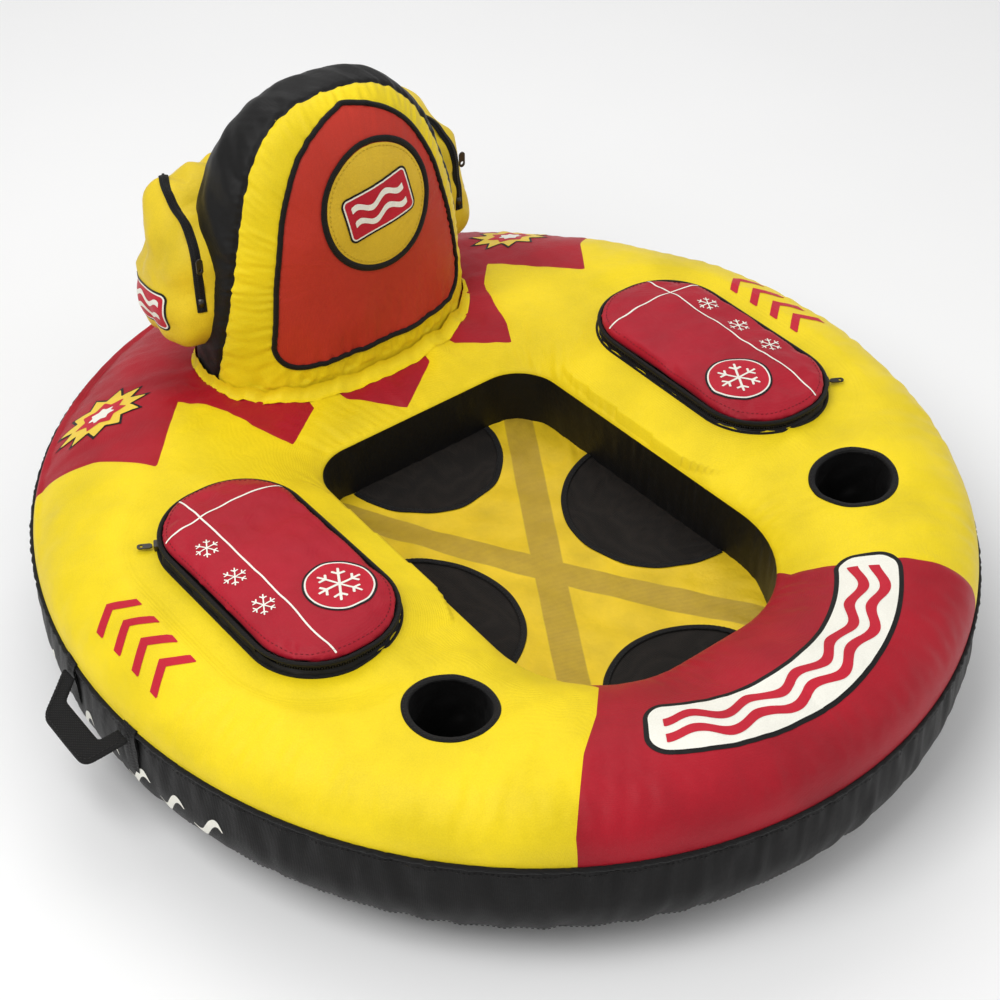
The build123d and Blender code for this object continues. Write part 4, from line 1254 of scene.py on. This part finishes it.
def make_lid_marks(side, name, tree):
    """Two pale pinstripes, a row of snowflakes, and a plain round patch with a snowflake."""
    body = f"lid_{name}"
    centre = LID_CENTRE * (side, 1)
    board = Sheet((centre[0], centre[1], 0.0), (side, 0, 0), (0, 1, 0))
    board.n = np.array([0, 0, 1.0])
    half_w, half_l = LID_HALF

    def wavy_line(p):
        bend = 0.0030 * np.sin(p[:, 1] * 42) * smooth_step(-0.04, -0.14, p[:, 1])
        line = np.abs(p[:, 0] - 0.030 - bend) - 0.0011
        return np.maximum(line, rounded_box(p, (0, 0), (half_w - 0.009, half_l - 0.004), LID_ROUND - 0.006))

    def cross_line(p):
        line = np.abs(p[:, 1] - 0.112 + 0.10 * (p[:, 0] / half_w) ** 2 * 0.06) - 0.0011
        return np.maximum(line, rounded_box(p, (0, 0), (half_w - 0.004, half_l - 0.009), LID_ROUND - 0.006))

    printed(f"lid_stripe_long_{name}", board, tree, wavy_line, (0.018, -half_l), (0.042, half_l),
            WHITE_PRINT, body, 0.0005, 0.0011, "nylon_red")
    printed(f"lid_stripe_cross_{name}", board, tree, cross_line, (-half_w, 0.098), (half_w, 0.122),
            WHITE_PRINT, body, 0.0005, 0.0011, "nylon_red")
    make_emblem(f"lid_emblem_{name}", board, tree, (-0.030, -0.082), (0.042, 0.042), 0.0, body,
                corner=0.042, snowflake=True)
    for index in range(3):
        spot = (0.052, 0.062 - index * 0.058)
        printed(f"lid_flake_{index}_{name}", board, tree,
                lambda p, m=spot: flake_field(p, m, 0.0150), (spot[0] - 0.018, spot[1] - 0.018),
                (spot[0] + 0.018, spot[1] + 0.018), WHITE_PRINT, body, 0.0006, 0.0010, "nylon_red")


def flake_field(p, centre, size, width=0.0016):
    """A plain six-armed snowflake."""
    q = p - np.asarray(centre)
    angle = np.arctan2(q[:, 1], q[:, 0])
    radius = np.hypot(q[:, 0], q[:, 1])
    sector = math.pi / 3
    folded = np.abs((angle + sector / 2) % sector - sector / 2)
    x, y = radius * np.cos(folded), radius * np.sin(folded)
    arm = np.maximum(np.abs(y) - width / 2, x - size)
    barb_x = x - size * 0.62
    c, s = math.cos(1.05), math.sin(1.05)
    along, across = barb_x * c + y * s, y * c - barb_x * s
    barb = np.maximum(np.abs(across) - width / 2, np.maximum(-along, along - size * 0.32))
    return np.minimum(arm, barb)


def make_emblem(name, board, tree, centre, half, turn, body, corner=0.010, lift=0.0005, snowflake=False,
                slot="nylon_red"):
    """A plain patch: black edge, white line, red field, and a white snowflake or two waves."""
    low = np.asarray(centre) - max(half) * 1.3
    high = np.asarray(centre) + max(half) * 1.3
    c, s = math.cos(turn), math.sin(turn)

    def local(p):
        q = p - np.asarray(centre)
        return np.stack([q[:, 0] * c + q[:, 1] * s, q[:, 1] * c - q[:, 0] * s], axis=1)

    layers = (("edge", 0.0, BLACK_PRINT), ("line", 0.0026, WHITE_PRINT), ("field", 0.0046, RED_PRINT))
    for level, (part, inset, material) in enumerate(layers):
        printed(f"{name}_{part}", board, tree,
                lambda p, i=inset: rounded_box(local(p), (0, 0), (half[0] - i, half[1] - i), corner - i),
                low, high, material, body, lift + 0.00022 * level, 0.0016, slot)

    def mark(p):
        q = local(p)
        if snowflake:
            return flake_field(q, (0, 0), half[1] * 0.66, 0.0030)
        crest = 0.16 * half[1] * np.sin(q[:, 0] / half[0] * 7.5)
        wave = np.abs(np.abs(q[:, 1] - crest) - 0.32 * half[1]) - 0.13 * half[1]
        return np.maximum(wave, np.abs(q[:, 0]) - half[0] * 0.76)

    printed(f"{name}_mark", board, tree, mark, low, high, WHITE_PRINT, body, lift + 0.0008, 0.0012, slot)


def make_hinge_cloth(side, name):
    """The strip of cloth that the lid folds back on, along its outer long edge."""
    x_edge = side * (LID_CENTRE[0] + LID_HALF[0])
    half = LID_HALF[1] - LID_ROUND
    along = np.linspace(LID_CENTRE[1] - half, LID_CENTRE[1] + half, 60)
    rows = []
    for angle in np.linspace(0, math.pi, 9):
        x = x_edge - side * (0.0010 - 0.0018 * math.sin(angle))
        z = TAPE_TOP + 0.0012 - 0.0058 * math.cos(angle)
        ripple = 0.0004 * np.sin(along * 120)
        rows.append(np.column_stack([x + ripple, along, np.full(len(along), z)]))
    strip = make_piece(f"lid_hinge_cloth_{name}", np.vstack(rows), grid_faces(len(rows), len(along)),
                       BACK_CLOTH, body=None)
    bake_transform(strip)


for side, side_name in SIDES:
    make_cup(side, side_name)
    make_locker(side, side_name)


# ================================= backrest ====================================================
BACK_TAPER = 0.046
BACK_CURVE = 2.833
BACK_DEPTH_TAPER = 0.073
BACK_LEAN = 0.005
FRONT_SEAM_Y = (0.338, 0.338, 0.104)      # at the foot, at the top, and how far it bows forward
REAR_SEAM_Y = (0.432, 0.405, 0.0)
FACE_EDGE = 0.034                         # width of the yellow rim at the foot and the top
FACE_EDGE_MORE = 0.056
FACE_SHIFT = 0.008
FACE_FOOT = 0.266
FACE_CORNER = 0.045


def back_share(level):
    return np.clip((level - BACK_FOOT) / (BACK_TOP - BACK_FOOT), 0, 1)


def back_half(level):
    """Half width and half depth of the backrest at a level."""
    t = back_share(level)
    round_off = (1 - t ** BACK_CURVE) ** (1 / BACK_CURVE)
    return (BACK_HALF * (1 - BACK_TAPER * t) * round_off,
            BACK_DEPTH * (1 - BACK_DEPTH_TAPER * t) * round_off)


def seam_y(level, seam):
    t = back_share(level)
    return seam[0] + (seam[1] - seam[0]) * t - seam[2] * t * (1 - t)


def face_field(p):
    """Signed distance to the red face's outline, over x and z."""
    x, z = np.abs(p[:, 0] - FACE_SHIFT), p[:, 1]
    share = back_share(z)
    half, _ = back_half(np.minimum(z, BACK_TOP - 0.0001))
    slope = np.gradient(back_half(np.linspace(BACK_FOOT, BACK_TOP, 400))[0], (BACK_TOP - BACK_FOOT) / 399)
    grade = np.interp(z, np.linspace(BACK_FOOT, BACK_TOP, 400), slope)
    side = (x - half) / np.sqrt(1 + grade ** 2) + FACE_EDGE + FACE_EDGE_MORE * share * (1 - share)
    side = np.where(z > BACK_TOP - 0.0001, z - BACK_TOP + FACE_EDGE, side)
    low = FACE_FOOT - z
    a, b = side + FACE_CORNER, low + FACE_CORNER
    corner = np.hypot(np.maximum(a, 0), np.maximum(b, 0)) - FACE_CORNER
    return np.where((a > 0) & (b > 0), corner, np.maximum(side, low))


def back_points(columns, rows):
    """The inflated backrest as a grid of points from its foot to its top."""
    turn = np.linspace(-math.pi, math.pi, columns, endpoint=False)
    low = BACK_FOOT - 0.020
    t = np.sin(np.linspace(0, math.pi / 2, rows))
    levels = low + (BACK_TOP - low) * t
    made = []
    for level in levels:
        half, depth = back_half(level)
        half, depth = max(half, 0.0006), max(depth, 0.0004)
        c, s = np.cos(turn), np.sin(turn)
        power = 2 / BACK_PLAN_CURVE
        x = half * np.sign(c) * np.abs(c) ** power
        y = BACK_CENTRE_Y + BACK_LEAN * back_share(level) + depth * np.sign(s) * np.abs(s) ** power
        made.append(np.column_stack([x, y, np.full(columns, level)]))
    return np.vstack(made), grid_faces(rows, columns, wrap=True)


BACK_VALVE = (0.070, BACK_REAR, 0.290)


def back_relief(points):
    """Cloth relief of the backrest along its normals."""
    x, y, z = points.T
    along = np.arctan2(z - 0.38, x) * 0.20
    front_gap = y - seam_y(z, FRONT_SEAM_Y)
    edge = face_field(np.column_stack([x, z]))
    rim = (front_gap < 0) & (edge > -0.004)
    out = 0.0009 * puckers(along, np.abs(front_gap), 0.020, 0.022, 61)
    out += np.where(rim, 0.0007 * puckers(along, np.abs(edge), 0.016, 0.030, 62), 0)
    out += 0.0010 * crumple(x + y, z, 0.090, 63) * smooth_step(0.0, 0.02, np.abs(front_gap))
    out += np.where(front_gap > 0, 0.0010 * crumple(x * 1.4, z - y, 0.045, 64), 0)
    out += 0.0016 * puckers(x * 1.0, z - BACK_FOOT, 0.030, 0.040, 65) * (z > BACK_FOOT)
    out -= 0.0018 * np.exp(-(front_gap / 0.0035) ** 2)
    out -= 0.0016 * np.exp(-((y - seam_y(z, REAR_SEAM_Y)) / 0.0035) ** 2)
    out += np.where(front_gap < 0, -0.0010 * np.exp(-(edge / 0.004) ** 2), 0)
    return np.clip(out, -0.004, 0.004)


def make_backrest():
    points, faces = back_points(560, 220)
    last = len(points) - 560
    faces.append(tuple(range(last, last + 560)))
    normals = normals_of(points, faces)
    outward = points - (0, BACK_CENTRE_Y, 0.36)
    flip = np.where((normals * outward).sum(axis=1, keepdims=True) < 0, -1, 1)
    normals *= flip
    points = points + back_relief(points)[:, None] * normals
    patch = np.hypot(points[:, 0] - BACK_VALVE[0], points[:, 2] - BACK_VALVE[2])
    rear = (points[:, 1] > BACK_CENTRE_Y) & (patch < 0.075)
    raised = BACK_VALVE[1] - 0.0002
    ease = smooth_step(0.075, 0.026, patch)
    points[:, 1] = np.where(rear, points[:, 1] * (1 - ease) + raised * ease, points[:, 1])

    points, front, rest = cut(points, faces, lambda p: p[:, 1] - seam_y(p[:, 2], FRONT_SEAM_Y))
    points, gusset, rear_panel = cut(points, rest, lambda p: p[:, 1] - seam_y(p[:, 2], REAR_SEAM_Y))
    points, face, rim = cut(points, front, lambda p: face_field(p[:, (0, 2)]))
    pieces = {
        "face": make_piece("backrest_face_cloth", points, face, FACE_CLOTH, "tube", ["backrest_face"],
                           "nylon_orange"),
        "rim": make_piece("backrest_rim_cloth", points, rim, YELLOW_CLOTH, "tube", ["backrest_rim"],
                          "nylon_yellow"),
        "gusset": make_piece("backrest_gusset_cloth", points, gusset, BACK_CLOTH, "tube",
                             ["backrest_gusset"], "nylon_black"),
        "back": make_piece("backrest_back_cloth", points, rear_panel, BACK_CLOTH, "tube",
                           ["backrest_back"], "nylon_black"),
    }
    loop = even_path(points[boundary_loops(face)[0]], 0.003)
    up = loop - (0, BACK_CENTRE_Y + 0.05, 0.40)
    up /= np.linalg.norm(up, axis=1, keepdims=True)
    make_piece("face_piping_cord", *rod(loop + 0.0006 * up, 0.0036, sides=10, up=up), BINDING_CLOTH,
               stands_for=["backrest_piping"], slot="webbing_black")
    return pieces


BADGE_CENTRE = (0.022, 0.453)
BADGE_RADIUS = 0.075
BADGE_RING = 0.0085


def make_badge(tree):
    """The round yellow badge with its black ring and a plain wave emblem."""
    board = Sheet((0, 0, 0), (1, 0, 0), (0, 0, 1))
    low = np.array(BADGE_CENTRE) - BADGE_RADIUS - BADGE_RING
    high = np.array(BADGE_CENTRE) + BADGE_RADIUS + BADGE_RING
    printed("badge_cloth", board, tree, lambda p: circle(p, BADGE_CENTRE, BADGE_RADIUS), low, high,
            BADGE_CLOTH, lift=0.0012, slot="nylon_yellow")
    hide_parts("backrest_badge")
    steps = circle_points(BADGE_CENTRE, BADGE_RADIUS + BADGE_RING / 2, 240)
    path = drape(board, tree, steps, 0.0012)
    ring = rod(path, BADGE_RING / 2, sides=10, flat=0.45, up=(0, -1, 0.1))
    make_piece("badge_ring_binding", *ring, BINDING_CLOTH, stands_for=["backrest_badge_ring"],
               slot="webbing_black")
    thread = drape(board, tree, circle_points(BADGE_CENTRE, BADGE_RADIUS - 0.0035, 200), 0.0017)
    make_piece("badge_stitches", *stitches(thread, (0, -1, 0)), YELLOW_THREAD, slot="nylon_yellow")
    make_emblem("badge_emblem", board, tree, BADGE_CENTRE, (0.052, 0.030), math.radians(8), "tube",
                lift=0.0020, slot="nylon_yellow")


def make_collar():
    """The yellow cloth that flares from the backrest's foot onto the tube."""
    turn = np.linspace(-math.pi, math.pi, 480, endpoint=False)
    c, s = np.cos(turn), np.sin(turn)
    power = 2 / BACK_PLAN_CURVE
    unit = np.column_stack([np.sign(c) * np.abs(c) ** power, np.sign(s) * np.abs(s) ** power])
    rows = []
    rise = 0.014
    flare = (0.006 + 0.008 * np.clip(-unit[:, 1], 0, 1) ** 2)[:, None]
    for angle in np.linspace(0, math.pi / 2, 14):
        grow = 0.0026 + flare * (1 - math.cos(angle))
        flat = unit * (np.array([BACK_HALF, BACK_DEPTH]) + grow) + (0, BACK_CENTRE_Y)
        ripple = 0.0006 * puckers(turn * 0.15, np.zeros(480), 0.016, 1, 66) * math.cos(angle)
        level = skin_height(flat) + 0.0006 + rise * (1 - math.sin(angle)) + ripple
        rows.append(np.column_stack([flat, level]))
    make_piece("backrest_collar_cloth", np.vstack(rows), grid_faces(len(rows), 480, wrap=True), YELLOW_CLOTH,
               stands_for=["backrest_collar"], slot="nylon_yellow")


def make_back_bladder():
    points, faces = back_points(96, 40)
    gap = 0.006
    centre = np.array([0, BACK_CENTRE_Y, 0.30])
    points = centre + (points - centre) * 0.955
    points[:, 2] = np.maximum(points[:, 2], BACK_FOOT + gap)
    make_piece("backrest_bladder_skin", points, faces, BLADDER_PVC, stands_for=["backrest_bladder"],
               slot="bladder_pvc")


backrest = make_backrest()
back_tree = tree_of(*backrest.values())
make_badge(back_tree)
make_collar()
make_back_bladder()


# ================================= side pockets ================================================
def pocket_form(side):
    """A zippered bag that hangs from the backrest's rear corner."""
    turn = np.linspace(0, 2 * math.pi, 120, endpoint=False)
    rise = np.linspace(-math.pi / 2, math.pi / 2, 64)
    middle_y = (POCKET_LOW.y + POCKET_HIGH.y) / 2
    half_y = (POCKET_HIGH.y - POCKET_LOW.y) / 2 - 0.004
    centre_x, half_x = 0.158, 0.071
    lean_in = 0.024 if side < 0 else 0.010
    rows = []
    for angle in rise:
        up = math.sin(angle)
        lift = np.sign(up) * abs(up) ** 0.50
        wide = math.cos(angle) ** 0.36 if math.cos(angle) > 1e-6 else 1e-3
        c, s = np.cos(turn), np.sin(turn)
        x = centre_x + half_x * wide * np.sign(c) * np.abs(c) ** 0.50
        y = middle_y + half_y * wide * np.sign(s) * np.abs(s) ** 0.50
        share = (y - POCKET_LOW.y) / (POCKET_HIGH.y - POCKET_LOW.y)
        top = 0.432 + (0.500 - 0.432) * share
        top = top - 0.010 * np.clip((0.200 - x) / 0.06, 0, 1) * (1 - share)
        low = 0.282 - 0.006 * share
        z = (top + low) / 2 + (top - low) / 2 * lift
        lean = lean_in * (0.36 - z) / 0.1
        rows.append(np.column_stack([side * (x + np.clip(lean, -0.026, 0.006)), y, z]))
    faces = grid_faces(len(rows), len(turn), wrap=True)
    return np.vstack(rows), faces


def make_pocket(side, name):
    points, faces = pocket_form(side)
    x, y, z = points.T
    points = points + np.column_stack([
        side * 0.0030 * crumple(y, z, 0.060, 71 + side), 0.0020 * crumple(x, z, 0.055, 73),
        0.0028 * crumple(x * side, y * 1.3, 0.050, 75),
    ])
    faces.append(tuple(range(len(points) - 120, len(points))))
    faces.append(tuple(range(119, -1, -1)))
    bag = make_piece(f"pocket_cloth_{name}", points, faces, POCKET_CLOTH, body=None)
    swell_cloth(bag, voxel=0.0050, pressure=4.0, frames=18, cap=0.006, stiffness=8.0)
    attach(bag, "tube")
    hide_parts(f"pocket_bag_{name}")
    tree = tree_of(bag)
    front = np.array([side * 0.1995, 0.3380, 0.0])
    rear = np.array([side * 0.1680, 0.4560, 0.0])
    share = np.linspace(0, 1, 60)
    bow = 0.004 * np.sin(share * math.pi * 2)
    flat = front[:2] + share[:, None] * (rear - front)[:2] + np.column_stack([bow, np.zeros(60)])
    path = drape(GROUND, tree, flat, 0.0012, 0.9)
    path = path[~np.isnan(path[:, 0])]
    path = even_path(path, 0.003, closed=False)
    tape = rod(path, 0.0062, closed=False, sides=12, flat=0.22)
    coil = rod(path + (0, 0, 0.0012), 0.0022, closed=False, sides=8)
    make_piece(f"pocket_zip_tape_{name}", *join_parts([tape, coil]), BINDING_CLOTH,
               stands_for=[f"pocket_zipper_{name}"], slot="webbing_black")
    slider_at = path[3] + (0, 0, 0.0034)
    along = path[6] - path[0]
    along /= np.linalg.norm(along)
    body = rod(np.array([slider_at - 0.005 * along, slider_at + 0.006 * along]), 0.0042, closed=False,
               sides=8, flat=0.55)
    make_piece(f"pocket_zip_slider_{name}", *body, ZIP_METAL, slot="zip_metal")
    board = Sheet((side * 0.30, (POCKET_LOW.y + POCKET_HIGH.y) / 2, 0.350), (0, -side, 0), (0, 0, 1))
    board.n = np.array([side * 1.0, 0, 0])
    make_emblem(f"pocket_emblem_{name}", board, tree, (-0.006 * side, -0.010), (0.044, 0.026),
                math.radians(-6), "tube", lift=0.0007, slot="nylon_yellow")


for side, side_name in SIDES:
    make_pocket(side, side_name)


# ================================= handles =====================================================
HANDLE_AXIS = (0.565, 0.011, 0.162)
HANDLE_DROOP = math.radians(35)
HANDLE_TAB = (                            # level up the side band, and how far the tab stands off it
    (0.112, 0.0016), (0.128, 0.0024), (0.146, 0.0034), (0.158, 0.0050), (0.168, 0.0052),
    (0.174, 0.0034), (0.1765, 0.0008),
)


def make_handle(side, name):
    """A webbing loop, padded and stitched, on two tabs sewn to the side band."""
    u = (side * math.cos(HANDLE_DROOP), 0, -math.sin(HANDLE_DROOP))
    origin = np.array(HANDLE_AXIS) * (side, 1, 1)
    board = Sheet(origin, u, (0, side, 0))
    outer = round_corners([(0.001, -0.074), (0.057, -0.049), (0.057, 0.049), (0.001, 0.074)],
                          [0.003, 0.020, 0.020, 0.003], 12)
    slit = round_corners([(-0.004, -0.053), (0.025, -0.039), (0.025, 0.039), (-0.004, 0.053)],
                         [0.003, 0.008, 0.008, 0.003], 8)

    def field(p):
        return np.maximum(polygon(p, outer), -polygon(p, slit))

    def bow(p):
        return 0.0022 * np.sin(p[:, 1] * 30) + 0.0030 * (p[:, 0] / 0.057) ** 2 * np.cos(p[:, 1] * 22)

    loop = pillow(board, field, (-0.002, -0.076), (0.059, 0.076), 0.0018, 0.0048, 0.0030, bow)
    make_piece(f"handle_webbing_{name}", *loop, BLACK_WEBBING, f"handle_{name}", [f"handle_{name}"],
               "webbing_black")
    row = round_corners([(0.006, -0.066), (0.052, -0.045), (0.052, 0.045), (0.006, 0.066)],
                        [0.004, 0.016, 0.016, 0.004], 12)[::-1]
    for level, suffix in ((0.0026, "top"), (-0.0026, "under")):
        thread = stitches(board.place(row, bow(row) + level), board.n, closed=False)
        make_piece(f"handle_stitches_{suffix}_{name}", *thread, WEBBING_THREAD, f"handle_{name}",
                   slot="webbing_black")
    tabs = []
    for end in (-1, 1):
        y_mid = origin[1] + end * 0.065
        turn = math.asin(np.clip(y_mid / RING_Y, -1, 1))
        turn = turn if side > 0 else math.pi - turn
        rows = []
        across = turn + np.linspace(-0.0125, 0.0125, 9) / RING_Y
        for level, out in HANDLE_TAB:
            rows.append(edge_point(across, level, band_bulge(across, np.full(9, level)) + out))
        points = np.vstack(rows)
        tabs.append(shell(points, points - (side * 0.0022, 0, 0), grid_faces(len(rows), 9)))
    make_piece(f"handle_tab_{name}", *join_parts(tabs), BLACK_WEBBING, "tube", [f"handle_anchor_{name}"],
               "webbing_black")


for side, side_name in SIDES:
    make_handle(side, side_name)


# ================================= printed marks on the tube ===================================
BANNER_CENTRE = (0.0, -0.245)
BANNER_REACH = 0.267
BANNER_TURN = math.radians(7)
BANNER_HALF_TURN = math.radians(45)
BANNER_HALF_TALL = 0.033


def banner_bent(p):
    """Plan points as distances along and across the ribbon."""
    q = p - np.asarray(BANNER_CENTRE)
    turn = np.arctan2(q[:, 0], -q[:, 1]) - BANNER_TURN
    return np.stack([turn * BANNER_REACH, np.hypot(q[:, 0], q[:, 1]) - BANNER_REACH], axis=1)


def banner_field(p, grow=0.0):
    """A plain ribbon with rounded ends that bends round the foot end."""
    half = (BANNER_HALF_TURN * BANNER_REACH + grow, BANNER_HALF_TALL + grow)
    return rounded_box(banner_bent(p), (0, 0), half, 0.020 + grow)


def wave_field(p):
    """Two rows of rolling red waves inside the ribbon."""
    along, across = banner_bent(p).T
    crest = 0.0060 * np.sin(along * 88)
    rows = np.abs(np.abs(across - crest) - 0.0120) - 0.0062
    return np.maximum(rows, np.abs(along) - BANNER_HALF_TURN * BANNER_REACH + 0.016)


def make_banner():
    low, high = (-0.300, -0.570), (0.320, -0.320)
    layers = (("outline", lambda p: banner_field(p, 0.0055), BLACK_PRINT),
              ("field", banner_field, WHITE_PRINT), ("wave", wave_field, RED_PRINT))
    for level, (part, field, material) in enumerate(layers):
        printed(f"banner_{part}_print", GROUND, top_tree, field, low, high, material,
                lift=0.0004 + 0.0004 * level, slot="nylon_red")


def star_outline(centre, size, points, turn=0.0, deep=0.55, stretch=(1.0, 1.0)):
    corners = []
    for index in range(2 * points):
        reach = size * (1.0 if index % 2 == 0 else deep)
        angle = turn + math.pi * index / points
        corners.append((centre[0] + reach * stretch[0] * math.cos(angle),
                        centre[1] + reach * stretch[1] * math.sin(angle)))
    return corners


def make_bursts():
    """Star bursts on the red rear panels."""
    for side, name in SIDES:
        centre = np.array([side * 0.330, 0.392])
        for level, (part, size, material) in enumerate((
                ("edge", 0.056, BLACK_PRINT), ("field", 0.050, YELLOW_PRINT), ("core", 0.030, RED_PRINT),
                ("heart", 0.016, WHITE_PRINT))):
            outline = star_outline(centre, size, 11 if size > 0.04 else 7, 0.2, 0.66, (1.25, 0.80))
            printed(f"burst_{part}_{name}", GROUND, top_tree, lambda p, o=outline: polygon(p, o),
                    centre - 0.075, centre + 0.075, material, lift=0.0004 + 0.0003 * level, slot="nylon_red")


def make_chevrons():
    """Red chevrons on the outer shoulder of the tube, beside each locker."""
    for side, name in SIDES:
        for index in range(4):
            y = (-0.055 if side < 0 else -0.025) + index * 0.038
            x = -0.505 if side < 0 else 0.490
            arrow = [(x - 0.027, y - 0.006), (x, y + 0.016), (x + 0.027, y - 0.006),
                     (x + 0.027, y - 0.020), (x, y + 0.002), (x - 0.027, y - 0.020)]
            printed(f"chevron_{index}_{name}", GROUND, top_tree, lambda p, o=arrow: polygon(p, o),
                    (x - 0.035, y - 0.03), (x + 0.035, y + 0.03), RED_PRINT, lift=0.0005, slot="nylon_yellow")


def make_band_marks():
    """White wave strokes printed along the side band."""
    tree = tree_of(side_band)
    for side, name in SIDES:
        for index in range(7):
            turn = math.radians(164 + index * 5.4) if side < 0 else math.radians(16 - index * 5.4)
            spot = edge_point(np.array([turn]), 0.100, 0.0)[0]
            normal = np.array([math.cos(turn) / RING_X, math.sin(turn) / RING_Y, 0])
            normal /= np.linalg.norm(normal)
            board = Sheet(spot, np.cross((0, 0, 1), normal), (0, 0, 1))

            def stroke(p):
                crest = 0.016 * np.sin(p[:, 0] * 115)
                width = 0.0085 * np.clip(1.15 - np.abs(p[:, 0]) / 0.024, 0, 1)
                return np.maximum(np.abs(p[:, 1] - crest) - width, np.abs(p[:, 0]) - 0.0235)

            printed(f"band_wave_{index}_{name}", board, tree, stroke, (-0.026, -0.034), (0.026, 0.034),
                    WHITE_PRINT, lift=0.0006, slot="nylon_black")


make_banner()
make_bursts()
make_chevrons()
make_band_marks()


# ================================= carried-over hardware =======================================
HARDWARE = {
    "locker_slider_left": ZIP_METAL, "locker_slider_right": ZIP_METAL,
    "locker_pull_left": ZIP_METAL, "locker_pull_right": ZIP_METAL,
    "pocket_pull_left": ZIP_METAL, "pocket_pull_right": ZIP_METAL,
    "locker_liner_left": LINER_FOAM, "locker_liner_right": LINER_FOAM,
    "tube_valve_body": VALVE_PLASTIC, "tube_valve_cap": VALVE_PLASTIC,
    "backrest_valve_body": VALVE_PLASTIC, "backrest_valve_cap": VALVE_PLASTIC,
}
for node, material in HARDWARE.items():
    for material_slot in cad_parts[node].material_slots:
        material_slot.material = material


# ================================= stage, light and camera =====================================
def make_stage():
    mesh = bpy.data.meshes.new("studio_floor")
    reach, level = 30.0, -0.0006
    mesh.from_pydata([(-reach, -reach, level), (reach, -reach, level), (reach, reach, level),
                      (-reach, reach, level)], [], [(0, 1, 2, 3)])
    floor = bpy.data.objects.new("studio_floor", mesh)
    bpy.context.scene.collection.objects.link(floor)
    paper = Finish("studio_paper")
    tone = paper.ramp(paper.noise(2.0), (0.90, 0.90, 0.90, 1), (0.93, 0.93, 0.93, 1))
    paper.set(Base_Color=tone, Roughness=0.9)
    mesh.materials.append(paper.material)
    world = bpy.data.worlds.new("studio")
    world.use_nodes = True
    world.node_tree.nodes["Background"].inputs["Color"].default_value = (1, 1, 1, 1)
    world.node_tree.nodes["Background"].inputs["Strength"].default_value = 0.56
    bpy.context.scene.world = world


def make_light(name, place, size, power, aim=(0, 0, 0.15)):
    data = bpy.data.lights.new(name, "AREA")
    data.energy = power
    data.size = size
    light = bpy.data.objects.new(name, data)
    light.location = place
    direction = Vector(aim) - Vector(place)
    light.rotation_mode = "QUATERNION"
    light.rotation_quaternion = direction.to_track_quat("-Z", "Y")
    bpy.context.scene.collection.objects.link(light)


def make_camera():
    turn, tilt, away = math.radians(-38.5), math.radians(41.3), 2.503
    target = Vector((0, 0, 0.1234))
    back = Vector((math.sin(turn) * math.cos(tilt), -math.cos(turn) * math.cos(tilt), math.sin(tilt)))
    data = bpy.data.cameras.new("camera")
    data.sensor_width = 36.0
    data.lens = 71.8
    data.shift_y = 0.026
    camera = bpy.data.objects.new("camera", data)
    camera.location = target + back * away
    camera.rotation_mode = "QUATERNION"
    camera.rotation_quaternion = (-back).to_track_quat("-Z", "Y")
    bpy.context.scene.collection.objects.link(camera)
    bpy.context.scene.camera = camera


make_stage()
make_light("key", (-1.6, -0.4, 2.6), 1.6, 42)
make_light("fill", (1.8, -2.2, 2.2), 2.4, 14)
make_light("top", (0.6, 1.4, 2.8), 2.0, 22)
make_camera()
bpy.context.scene.view_settings.view_transform = "Standard"
